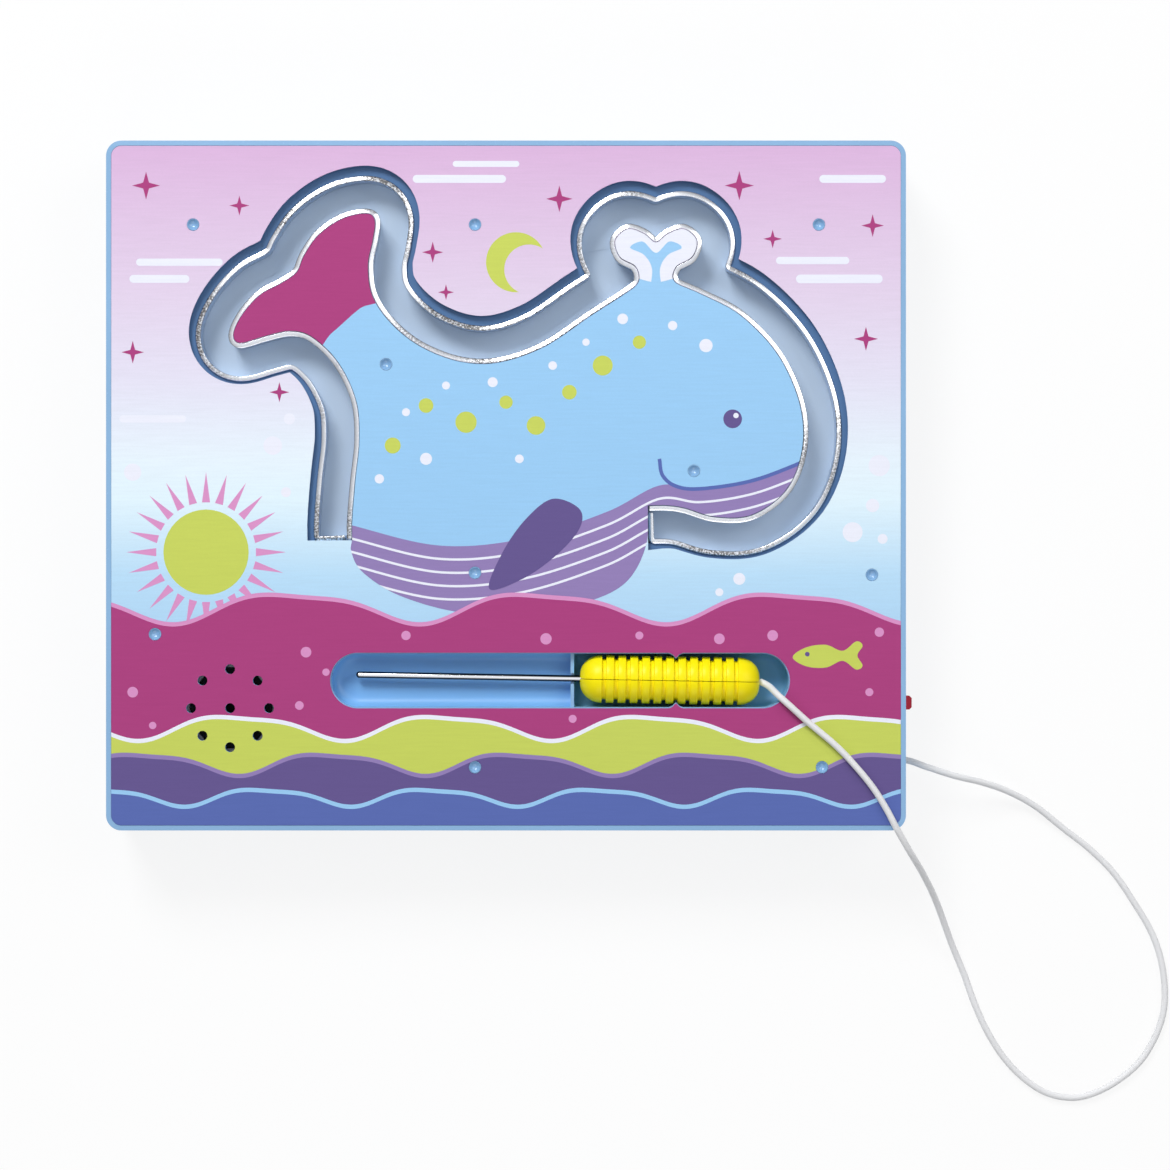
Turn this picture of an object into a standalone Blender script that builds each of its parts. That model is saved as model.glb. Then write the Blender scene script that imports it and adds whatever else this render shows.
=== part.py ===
"""Steady-hand game: a flat case with a metal-lined winding track and a corded stylus in its tray.

The game lies on its back, face up. The origin is the centre of the back face, +X is to the right of the
face, +Y towards its top edge and +Z out of the face. All sizes are in metres.
"""
import math

import bmesh
import bpy
import numpy as np

# Clearance between seated pieces
GAP = 0.0003

# Case
CASE_WIDTH = 0.240
CASE_HEIGHT = 0.207
CASE_THICKNESS = 0.028
CASE_CORNER_RADIUS = 0.0046
CASE_WALL = 0.0022
CASE_EDGE_ROUND = 0.0007
ROUND_EDGE_ANGLE = math.radians(50)
LEAST_CORNER = 0.0005
FRONT_PLATE = 0.0020
REAR_PLATE = 0.0022
REAR_DEPTH = 0.0060
LIP_HEIGHT = 0.0030
LIP_THICKNESS = 0.0014
CORNER_STEPS = 5

# Printed sheet on the face
RIM_WIDTH = 0.0015
SHEET_THICKNESS = 0.0005
SHEET_SINK = 0.0001

# Track
TRACK_WIDTH = 0.0113
TRACK_DEPTH = 0.0090
TRACK_SKIRT = 0.0020
TRACK_STEP_WIDTH = 0.0018
TRACK_STEP_DEPTH = 0.0022
STRIP_THICKNESS = 0.0010
STRIP_CLEARANCE = 0.00035
OUTER_STRIP_DEPTH = 0.0016
INNER_STRIP_DEPTH = 0.0008
FLOOR_THICKNESS = 0.0005
FLOOR_OVERLAP = 0.0014
FLOOR_SEAM = 0.62
PATH_SPACING = 0.0005
PATH_TOLERANCE = 0.00019
HIDDEN_TOLERANCE = 0.0006
TRIM_TOLERANCE = 0.00001
FAN_ANGLE = math.radians(6)

# Edge of the figure that the track runs round, from the start pad to the end pad
TRACK_EDGE = (
    (-0.0462, -0.0164), (-0.0462, -0.0104), (-0.0452, 0.0020), (-0.0440, 0.0136), (-0.0450, 0.0256),
    (-0.0504, 0.0370), (-0.0582, 0.0446), (-0.0648, 0.0464), (-0.0724, 0.0448), (-0.0798, 0.0428),
    (-0.0818, 0.0454), (-0.0792, 0.0512), (-0.0738, 0.0572), (-0.0676, 0.0606), (-0.0628, 0.0640),
    (-0.0606, 0.0690), (-0.0562, 0.0752), (-0.0492, 0.0800), (-0.0420, 0.0816), (-0.0394, 0.0796),
    (-0.0400, 0.0736), (-0.0414, 0.0662), (-0.0402, 0.0572), (-0.0348, 0.0490), (-0.0258, 0.0418),
    (-0.0138, 0.0372), (-0.0018, 0.0370), (0.0118, 0.0418), (0.0252, 0.0508), (0.0342, 0.0566),
    (0.0396, 0.0608), (0.0390, 0.0656), (0.0342, 0.0686), (0.0328, 0.0736), (0.0366, 0.0770),
    (0.0414, 0.0756), (0.0450, 0.0730), (0.0486, 0.0756), (0.0534, 0.0770), (0.0572, 0.0736),
    (0.0558, 0.0686), (0.0510, 0.0656), (0.0506, 0.0612), (0.0582, 0.0576), (0.0702, 0.0512),
    (0.0816, 0.0392), (0.0882, 0.0242), (0.0888, 0.0106), (0.0840, -0.0014), (0.0738, -0.0088),
    (0.0628, -0.0094), (0.0538, -0.0068), (0.0486, -0.0060), (0.0426, -0.0060),
)

# Stylus tray
TRAY_X = 0.0162
TRAY_Y = -0.0585
TRAY_LENGTH = 0.1374
TRAY_WIDTH = 0.0161
TRAY_WALL = 0.0016
TRAY_END_STEPS = 14
ROD_POCKET_DEPTH = 0.0078
DIVIDER_X = 0.0199
DIVIDER_THICKNESS = 0.0011
ROD_SLOT_SIDE = 0.0006
TAB_BASE = 0.0044
TAB_NECK = 0.0020
TAB_FLARE = 0.0005
TAB_REACH = 0.00145

# Stylus
STYLUS_X = 0.0492
STYLUS_DEPTH = 0.0046
STYLUS_TILT = math.radians(-1.0)
HANDLE_LENGTH = 0.054
HANDLE_RADIUS = 0.0071
HANDLE_DOME = 0.0064
HANDLE_TIP_RADIUS = 0.0019
HANDLE_STEPS = 12
DOME_STEPS = 4
GROOVE_COUNT = 12
GROOVE_PITCH = 0.0036
GROOVE_WIDTH = 0.0014
GROOVE_DEPTH = 0.0011
ROD_RADIUS = 0.0010
ROD_REACH = 0.0675
ROD_INSERT = 0.0120
CORD_SOCKET = 0.0050

# Cord between the stylus and the right side wall
CORD_RADIUS = 0.0014
CORD_HOLE_SIDE = 0.0004
CORD_EXIT_RISE = 0.0205
CORD_EXIT_Z = 0.0130
CORD_TAIL = 0.0116
CORD_SPACING = 0.0060
CORD_STEPS = 2
STOP_LENGTH = 0.0045
STOP_WALL = 0.0009
CORD_LEAD = (
    (0.0766, -0.0590, 0.0234), (0.0790, -0.0603, 0.0253), (0.0814, -0.0627, 0.0286),
    (0.0846, -0.0656, 0.0304), (0.0906, -0.0710, 0.0299),
)

# The rest of the cord, measured from the lower right corner of the case
CORD_LOOP = (
    (-0.0220, 0.0263, 0.0297), (-0.0168, 0.0211, 0.0297), (-0.0105, 0.0136, 0.0297),
    (-0.0062, 0.0069, 0.0298), (-0.0028, 0.0005, 0.0296), (0.0016, -0.0069, 0.0262),
    (0.0062, -0.0141, 0.0190), (0.0110, -0.0231, 0.0104), (0.0162, -0.0361, 0.0036),
    (0.0204, -0.0461, 0.0016), (0.0234, -0.0545, 0.0015), (0.0272, -0.0631, 0.0015),
    (0.0324, -0.0715, 0.0015), (0.0386, -0.0781, 0.0015), (0.0456, -0.0827, 0.0015),
    (0.0530, -0.0843, 0.0015), (0.0594, -0.0833, 0.0015), (0.0668, -0.0797, 0.0015),
    (0.0740, -0.0739, 0.0015), (0.0786, -0.0671, 0.0015), (0.0817, -0.0589, 0.0015),
    (0.0823, -0.0505, 0.0015), (0.0810, -0.0413, 0.0015), (0.0780, -0.0329, 0.0015),
    (0.0728, -0.0241, 0.0015), (0.0666, -0.0151, 0.0015), (0.0592, -0.0077, 0.0015),
    (0.0510, -0.0013, 0.0018), (0.0424, 0.0055, 0.0027), (0.0340, 0.0101, 0.0046),
    (0.0254, 0.0137, 0.0076), (0.0166, 0.0169, 0.0106), (0.0082, 0.0195, 0.0126),
)

# Pits in the face and the case screws under them
TOP_FIXING_INSET = 0.0252
TOP_SIDE_INSET = 0.0261
BOTTOM_FIXING_INSET = 0.0190
BOTTOM_SIDE_INSET = 0.0252
LEFT_FIXING_INSET = 0.0147
LEFT_FIXING_Y = -0.0446
RIGHT_FIXING_INSET = 0.0102
RIGHT_FIXING_Y = -0.0268
MIDDLE_FIXING_X = -0.0093
FIGURE_FIXINGS = ((-0.0360, 0.0364), (0.0564, 0.0044), (MIDDLE_FIXING_X, -0.0262))
PIT_RADIUS = 0.0019
PIT_DEPTH = 0.0011
PIT_SIDES = 10
BOSS_RADIUS = 0.0035
PILOT_DEPTH = 0.0100
PAD_RADIUS = 0.0046
PAD_HEIGHT = 0.0050
SCREW_RADIUS = 0.0013
SCREW_SIDE = 0.0004
SCREW_HEAD_RADIUS = 0.0028
SCREW_HEAD_HEIGHT = 0.0018
SCREW_HEAD_SINK = 0.0005
SCREW_LENGTH = 0.0110
FIXING_SIDES = 8

# Sides of small round pieces
ROUND_SIDES = 12

# Speaker
SPEAKER_INSET = 0.0372
SPEAKER_RISE = 0.0367
SPEAKER_RADIUS = 0.0136
SPEAKER_HEIGHT = 0.0056
SPEAKER_SHEET = 0.0006
SPEAKER_RIM = 0.0010
SPEAKER_SHOULDER = 0.0024
SPEAKER_THROAT = 0.0056
CONE_DEPTH = 0.0028
CONE_DOME_RADIUS = 0.0041
MAGNET_RADIUS = 0.0070
MAGNET_HEIGHT = 0.0034
SPEAKER_RING_WALL = 0.0015
SPEAKER_RING_HEIGHT = 0.0030
SOUND_HOLE_RADIUS = 0.0015
SOUND_HOLE_RING = 0.0117
SOUND_HOLE_COUNT = 8
SOUND_HOLE_SIDES = 8
SPEAKER_STEPS = 14

# On/off slide switch in the right side wall
SWITCH_RISE = 0.0379
SWITCH_Z = 0.0135
SWITCH_TRAVEL = 0.0030
KNOB_WIDTH = 0.0042
KNOB_HEIGHT = 0.0028
KNOB_REACH = 0.0030
KNOB_CHAMFER = 0.0007
KNOB_INSERT = 0.0080
KNOB_SIDE = 0.0004
SWITCH_LENGTH = 0.0095
SWITCH_WIDTH = 0.0130
SWITCH_HEIGHT = 0.0062
SWITCH_SETBACK = 0.0065

# Circuit board
BOARD_INSET = 0.0200
BOARD_RISE = 0.0405
BOARD_WIDTH = 0.0240
BOARD_LENGTH = 0.0300
BOARD_THICKNESS = 0.0016
BOARD_Z = 0.0080
BOARD_FIXINGS = ((-0.0090, -0.0118), (-0.0090, 0.0118))
POST_RADIUS = 0.0024
BOARD_SCREW_RADIUS = 0.0008
BOARD_SCREW_HEAD_RADIUS = 0.0018
BOARD_SCREW_HEAD_HEIGHT = 0.0012
BOARD_SCREW_LENGTH = 0.0055
CHIP_PLACE = (-0.0035, 0.0)
CHIP_SIDE = 0.0076
CHIP_CORNER = 0.0025
CHIP_HEIGHT = 0.0016
CAPACITOR_PLACE = (0.0040, -0.0105)
CAPACITOR_RADIUS = 0.0025
CAPACITOR_HEIGHT = 0.0052

# Battery bay, cells and door
BAY_INSET = 0.0340
BAY_Y = 0.0000
BAY_WALL = 0.0016
CELL_COUNT = 2
CELL_RADIUS = 0.00715
CELL_LENGTH = 0.0492
CELL_NUB_RADIUS = 0.0027
CELL_NUB_LENGTH = 0.0013
CELL_SHOULDER = 0.0004
CELL_SIDE = 0.0004
CELL_STEPS = 14
CONTACT_THICKNESS = 0.0005
CONTACT_WIDTH = 0.0100
CONTACT_HEIGHT = 0.0110
DOOR_THICKNESS = 0.0016
DOOR_LEDGE = 0.0030
DOOR_CORNER_RADIUS = 0.0030
DOOR_TAIL = 0.0090
DOOR_SCREW_RADIUS = 0.0012
DOOR_SCREW_HEAD_RADIUS = 0.0022
DOOR_SCREW_HEAD_HEIGHT = 0.0009
DOOR_SCREW_LENGTH = 0.0060
DOOR_SCREW_SINK = 0.0001
DOOR_POST_RADIUS = 0.0034
DOOR_POST_HEIGHT = 0.0090

# Hook-up wires: lanes across the case along X, and the places where they start and land
WIRE_RADIUS = 0.0006
WIRE_SPACING = 0.0180
WIRE_STEPS = 0
WIRE_LEAD = 0.0050
WIRE_LIFT = 0.0024
WIRE_PITCH = 0.0045
LANE_LEFT = -0.0350
LANE_RIGHT = 0.0500
BATTERY_LANE_Y = -0.0420
BATTERY_START = -0.0100
BATTERY_LANDING = 0.0100
SPEAKER_LANE_Y = -0.0715
SPEAKER_START = 0.0022
SPEAKER_LANDING = -0.0060
TRACK_WIRE_PLACE = (0.0620, -0.0140)
TRACK_LANDING = 0.0140
CORD_WIRE_LANDING = 0.0030

# Levels worked out from the sizes above
FACE_Z = CASE_THICKNESS
SHEET_TOP = FACE_Z - SHEET_SINK
SHEET_BOTTOM = SHEET_TOP - SHEET_THICKNESS
PLATE_TOP = SHEET_BOTTOM - GAP
PLATE_BOTTOM = PLATE_TOP - FRONT_PLATE
SEAM_Z = REAR_DEPTH + GAP
SKIRT_BOTTOM = FACE_Z - TRACK_DEPTH
FLOOR_TOP = SKIRT_BOTTOM - GAP
AXIS_Z = FACE_Z - STYLUS_DEPTH
HANDLE_POCKET_Z = AXIS_Z - HANDLE_RADIUS - GAP
ROD_POCKET_Z = FACE_Z - ROD_POCKET_DEPTH
BOARD_TOP = BOARD_Z + BOARD_THICKNESS
WALL_X = CASE_WIDTH / 2
WALL_Y = CASE_HEIGHT / 2
SPEAKER_X = -WALL_X + SPEAKER_INSET
SPEAKER_Y = -WALL_Y + SPEAKER_RISE
SWITCH_Y = -WALL_Y + SWITCH_RISE
CORD_EXIT_Y = -WALL_Y + CORD_EXIT_RISE
BOARD_X = WALL_X - BOARD_INSET
BOARD_Y = -WALL_Y + BOARD_RISE
BAY_X = -WALL_X + BAY_INSET
DOOR_RECESS = DOOR_THICKNESS + GAP
BAY_WIDTH = CELL_COUNT * 2 * (CELL_RADIUS + CELL_SIDE)
BAY_LENGTH = CELL_LENGTH + CELL_NUB_LENGTH + 2 * CONTACT_THICKNESS + 4 * GAP
BAY_CEILING = DOOR_RECESS + 2 * (CELL_RADIUS + CELL_SIDE)
CELL_Z = DOOR_RECESS + CELL_RADIUS + CELL_SIDE
FIXING_PLACES = (
    (-WALL_X + TOP_SIDE_INSET, WALL_Y - TOP_FIXING_INSET),
    (MIDDLE_FIXING_X, WALL_Y - TOP_FIXING_INSET),
    (WALL_X - TOP_SIDE_INSET, WALL_Y - TOP_FIXING_INSET),
    (-WALL_X + LEFT_FIXING_INSET, LEFT_FIXING_Y),
    (WALL_X - RIGHT_FIXING_INSET, RIGHT_FIXING_Y),
    (MIDDLE_FIXING_X, -WALL_Y + BOTTOM_FIXING_INSET),
    (WALL_X - BOTTOM_SIDE_INSET, -WALL_Y + BOTTOM_FIXING_INSET),
    *FIGURE_FIXINGS,
)

# Reach past a face, for cuts that go right through it
PAST = 0.002

# Points this close are one point
WELD = 0.000001


def clear_scene():
    """Remove what the scene holds."""
    for item in list(bpy.data.objects):
        bpy.data.objects.remove(item, do_unlink=True)


def make_material(name, colour, roughness, metallic=0.0):
    """A Principled material."""
    material = bpy.data.materials.new(name)
    material.use_nodes = True
    shader = material.node_tree.nodes["Principled BSDF"]
    shader.inputs["Base Color"].default_value = (*colour, 1.0)
    shader.inputs["Roughness"].default_value = roughness
    shader.inputs["Metallic"].default_value = metallic
    return material


def keep(item, name, material):
    """Put an object among the parts, under its name and with its material."""
    item.name = name
    item.data.name = name
    item.data.materials.clear()
    item.data.materials.append(material)
    PARTS.objects.link(item)
    return item


def combine(target, operation, tools):
    """Join or cut an object with a group of tools, which are hidden among the cutters."""
    group = bpy.data.collections.new(f"{target.name}_{operation.lower()}")
    CUTTERS.children.link(group)
    for item in tools:
        item.hide_render = True
        item.display_type = "WIRE"
        group.objects.link(item)
    modifier = target.modifiers.new(operation.title(), "BOOLEAN")
    modifier.operation = operation
    modifier.operand_type = "COLLECTION"
    modifier.collection = group
    return target


def shift(loop, x, y):
    """A loop of points moved in the plane."""
    return [(px + x, py + y) for px, py in loop]


def arc(centre, radius, start, end, steps):
    """Points along a circular arc, ends included."""
    angles = np.linspace(start, end, steps + 1)
    return [(centre[0] + radius * math.cos(a), centre[1] + radius * math.sin(a)) for a in angles]


def circle(x, y, radius, sides):
    """A round loop."""
    return arc((x, y), radius, 0.0, 2 * math.pi * (1 - 1 / sides), sides - 1)


def rounded_rectangle(width, height, radius):
    """A rectangle about the origin with round corners."""
    across = width / 2 - radius
    up = height / 2 - radius
    loop = []
    for turn, (x, y) in enumerate(((across, up), (-across, up), (-across, -up), (across, -up))):
        start = turn * math.pi / 2
        loop += arc((x, y), radius, start, start + math.pi / 2, CORNER_STEPS)
    return loop


def rectangle(x_low, x_high, y_low, y_high):
    """A plain rectangle."""
    return [(x_low, y_low), (x_high, y_low), (x_high, y_high), (x_low, y_high)]


def prism(loops, low, high):
    """A flat outline, with any holes in it, between two heights."""
    curve = bpy.data.curves.new("outline", "CURVE")
    curve.dimensions = "2D"
    curve.fill_mode = "BOTH"
    curve.extrude = (high - low) / 2
    for loop in loops:
        spline = curve.splines.new("POLY")
        spline.points.add(len(loop) - 1)
        for point, (x, y) in zip(spline.points, loop):
            point.co = (x, y, 0.0, 1.0)
        spline.use_cyclic_u = True
    outline = bpy.data.objects.new("outline", curve)
    outline.location.z = (low + high) / 2
    bpy.context.scene.collection.objects.link(outline)
    return solid_from_curve(outline)


def solid_from_curve(outline):
    """The welded mesh of a curve object, which it replaces."""
    bpy.context.view_layer.update()
    evaluated = outline.evaluated_get(bpy.context.evaluated_depsgraph_get())
    mesh = bpy.data.meshes.new_from_object(evaluated)
    shape = bmesh.new()
    shape.from_mesh(mesh)
    bmesh.ops.remove_doubles(shape, verts=shape.verts, dist=WELD)
    bmesh.ops.recalc_face_normals(shape, faces=shape.faces)
    shape.to_mesh(mesh)
    shape.free()
    solid = bpy.data.objects.new("solid", mesh)
    solid.matrix_world = outline.matrix_world.copy()
    bpy.data.objects.remove(outline, do_unlink=True)
    return solid


def turned(profile, steps, closed=False):
    """A turned shape about Z, from a profile of radius and height that runs down its outer side."""
    mesh = bpy.data.meshes.new("profile")
    edges = [(i, i + 1) for i in range(len(profile) - 1)]
    if closed:
        edges.append((len(profile) - 1, 0))
    mesh.from_pydata([(radius, 0.0, z) for radius, z in profile], edges, [])
    item = bpy.data.objects.new("turned", mesh)
    screw = item.modifiers.new("Turn", "SCREW")
    screw.steps = steps
    screw.render_steps = steps
    screw.use_merge_vertices = True
    screw.merge_threshold = WELD
    screw.use_smooth_shade = True
    return item


def cylinder(x, y, radius, low, high, sides):
    """A plain round bar along Z."""
    return prism([circle(x, y, radius, sides)], low, high)


def screw_solid(radius, head_radius, head_height, length, steps):
    """A pan-head screw along Z, head down at zero height."""
    profile = [
        (0.0, length),
        (radius, length),
        (radius, head_height),
        (head_radius, head_height),
        (head_radius, 0.0),
        (0.0, 0.0),
    ]
    return turned(profile, steps)


def tube(points, radius, steps, name, material):
    """A cord or wire along a run of points."""
    curve = bpy.data.curves.new(name, "CURVE")
    curve.dimensions = "3D"
    curve.bevel_depth = radius
    curve.bevel_resolution = steps
    curve.use_fill_caps = True
    spline = curve.splines.new("POLY")
    spline.points.add(len(points) - 1)
    for point, place in zip(spline.points, points):
        point.co = (*place, 1.0)
    return keep(bpy.data.objects.new(name, curve), name, material)


def smooth_run(points, spacing):
    """Evenly spaced points on a smooth curve through a run of points."""
    knots = np.array(points, dtype=float)
    knots = np.vstack((2 * knots[0] - knots[1], knots, 2 * knots[-1] - knots[-2]))
    fine = [knots[1]]
    for i in range(1, len(knots) - 2):
        before, start, end, after = knots[i - 1:i + 3]
        count = max(8, int(np.linalg.norm(end - start) / spacing * 4))
        for t in np.linspace(0.0, 1.0, count + 1)[1:]:
            fine.append(0.5 * (
                2 * start + (end - before) * t
                + (2 * before - 5 * start + 4 * end - after) * t ** 2
                + (3 * start - before - 3 * end + after) * t ** 3
            ))
    fine = np.array(fine)
    travel = np.concatenate(([0.0], np.cumsum(np.linalg.norm(np.diff(fine, axis=0), axis=1))))
    stations = np.linspace(0.0, travel[-1], max(2, round(travel[-1] / spacing) + 1))
    return np.stack([np.interp(stations, travel, fine[:, axis]) for axis in range(fine.shape[1])], axis=1)


def distance_to_path(points, path):
    """Distance of each point to the nearest place on a path."""
    start = path[:-1]
    along = path[1:] - start
    square = np.sum(along ** 2, axis=1)
    offset = points[:, None, :] - start[None, :, :]
    share = np.clip(np.sum(offset * along, axis=2) / square, 0.0, 1.0)
    return np.min(np.linalg.norm(offset - share[:, :, None] * along, axis=2), axis=1)


def crossing(a, b, c, d):
    """Where the line from a to b meets the line from c to d."""
    first = b - a
    second = d - c
    cross = first[0] * second[1] - first[1] * second[0]
    if abs(cross) < 1e-12:
        return (a + d) / 2
    share = ((c - a)[0] * second[1] - (c - a)[1] * second[0]) / cross
    return a + first * share


def simplified(points, tolerance):
    """The points that a run needs to stay within a tolerance of itself."""
    wanted = {0, len(points) - 1}
    stack = [(0, len(points) - 1)]
    while stack:
        low, high = stack.pop()
        if high - low < 2:
            continue
        away = distance_to_path(points[low + 1:high], points[[low, high]])
        if away.max() > tolerance:
            middle = low + 1 + int(away.argmax())
            wanted.add(middle)
            stack += [(low, middle), (middle, high)]
    return points[sorted(wanted)]


def offset_path(path, distance, tolerance=PATH_TOLERANCE):
    """A run at a distance on the left of a path, trimmed where it would come closer than that to it."""
    if abs(distance) < WELD:
        return simplified(path, tolerance)
    heading = np.diff(path, axis=0)
    angles = np.unwrap(np.arctan2(heading[:, 1], heading[:, 0]))
    angles = np.concatenate((angles[:1], angles, angles[-1:]))
    raw = []
    for place, before, after in zip(path, angles[:-1], angles[1:]):
        turn = (before - after) * math.copysign(1.0, distance)
        fan = [(before + after) / 2]
        if turn > FAN_ANGLE:
            fan = np.linspace(before, after, 2 + int(turn / FAN_ANGLE))
        raw += [place + distance * np.array((-math.sin(angle), math.cos(angle))) for angle in fan]
    raw = np.array(raw)
    clear = np.flatnonzero(distance_to_path(raw, path) > abs(distance) - TRIM_TOLERANCE)
    run = [raw[clear[0]]]
    for last, place in zip(clear[:-1], clear[1:]):
        if place - last > 1:
            run.append(crossing(raw[last], raw[last + 1], raw[place - 1], raw[place]))
        run.append(raw[place])
    return simplified(np.array(run), tolerance)


def cut_back(path, head, tail):
    """A path with a length taken off each end, or added to it where the length is below zero."""
    travel = np.concatenate(([0.0], np.cumsum(np.linalg.norm(np.diff(path, axis=0), axis=1))))
    first = (path[1] - path[0]) / np.linalg.norm(path[1] - path[0])
    last = (path[-1] - path[-2]) / np.linalg.norm(path[-1] - path[-2])
    inside = path[(travel > head + WELD) & (travel < travel[-1] - tail - WELD)]
    if head <= 0.0:
        start = path[0] + first * head
    else:
        start = np.array([np.interp(head, travel, path[:, axis]) for axis in range(2)])
    if tail <= 0.0:
        end = path[-1] - last * tail
    else:
        end = np.array([np.interp(travel[-1] - tail, travel, path[:, axis]) for axis in range(2)])
    return np.vstack((start, inside, end))


def track_band(near, far, head, tail, tolerance=PATH_TOLERANCE):
    """The loop between two distances from the figure's edge, with its ends cut back."""
    path = cut_back(EDGE_PATH, head, tail)
    outer = offset_path(path, far, tolerance)
    inner = offset_path(path, near, tolerance)
    return [tuple(point) for point in np.vstack((outer, inner[::-1]))]


def ribbon(points, low, high, thickness):
    """A thin strip standing on edge along a run of points, with its thickness on its right-hand side."""
    count = len(points)
    corners = [(x, y, z) for z in (low, high) for x, y in points]
    faces = [(n, n + 1, n + 1 + count, n + count) for n in range(count - 1)]
    mesh = bpy.data.meshes.new("ribbon")
    mesh.from_pydata(corners, [], faces)
    item = bpy.data.objects.new("ribbon", mesh)
    solidify = item.modifiers.new("Thickness", "SOLIDIFY")
    solidify.thickness = thickness
    solidify.offset = 1.0
    solidify.use_even_offset = True
    return item


def tray_outline(grow, tabs):
    """The tray's loop with round ends, grown by a margin, with or without the two snap tabs."""
    radius = TRAY_WIDTH / 2 + grow
    straight = (TRAY_LENGTH - TRAY_WIDTH) / 2
    right = arc((TRAY_X + straight, TRAY_Y), radius, -math.pi / 2, math.pi / 2, TRAY_END_STEPS)
    left = arc((TRAY_X - straight, TRAY_Y), radius, math.pi / 2, 3 * math.pi / 2, TRAY_END_STEPS)
    if not tabs:
        return right + left
    tab_x = STYLUS_X + GROOVE_PITCH / 2
    upper = [
        (tab_x + TAB_BASE / 2, radius),
        (tab_x + TAB_NECK / 2, radius - TAB_FLARE),
        (tab_x, radius - TAB_REACH),
        (tab_x - TAB_NECK / 2, radius - TAB_FLARE),
        (tab_x - TAB_BASE / 2, radius),
    ]
    lower = [(x, -y) for x, y in reversed(upper)]
    return right + shift(upper, 0.0, TRAY_Y) + left + shift(lower, 0.0, TRAY_Y)


def half_tray(grow):
    """The handle's end of the tray, from the divider on, grown by a margin."""
    return tray_part(DIVIDER_X + DIVIDER_THICKNESS / 2 - grow, math.inf, grow)


def tray_part(x_low, x_high, grow=0.0):
    """The part of the tray's loop between two places along it."""
    loop = []
    for x, y in tray_outline(grow, False):
        loop.append((min(max(x, x_low), x_high), y))
    return loop_without_repeats(loop)


def loop_without_repeats(loop):
    """A loop without points that lie on a straight run along its ends."""
    kept = []
    count = len(loop)
    for n, (x, y) in enumerate(loop):
        before = loop[n - 1]
        after = loop[(n + 1) % count]
        if abs(before[0] - x) < WELD and abs(after[0] - x) < WELD:
            continue
        kept.append((x, y))
    return kept


def sound_holes():
    """The middle sound hole and the ring round it."""
    holes = [circle(SPEAKER_X, SPEAKER_Y, SOUND_HOLE_RADIUS, SOUND_HOLE_SIDES)]
    for n in range(SOUND_HOLE_COUNT):
        angle = 2 * math.pi * n / SOUND_HOLE_COUNT
        x = SPEAKER_X + SOUND_HOLE_RING * math.cos(angle)
        y = SPEAKER_Y + SOUND_HOLE_RING * math.sin(angle)
        holes.append(circle(x, y, SOUND_HOLE_RADIUS, SOUND_HOLE_SIDES))
    return holes


def case_outline(inset):
    """The case's loop, drawn in by a margin."""
    radius = max(CASE_CORNER_RADIUS - inset, LEAST_CORNER)
    return rounded_rectangle(CASE_WIDTH - 2 * inset, CASE_HEIGHT - 2 * inset, radius)


def rounded_edges(item, width):
    """Round the sharp edges of a solid."""
    bevel = item.modifiers.new("Edges", "BEVEL")
    bevel.width = width
    bevel.segments = 1
    bevel.limit_method = "ANGLE"
    bevel.angle_limit = ROUND_EDGE_ANGLE


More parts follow.
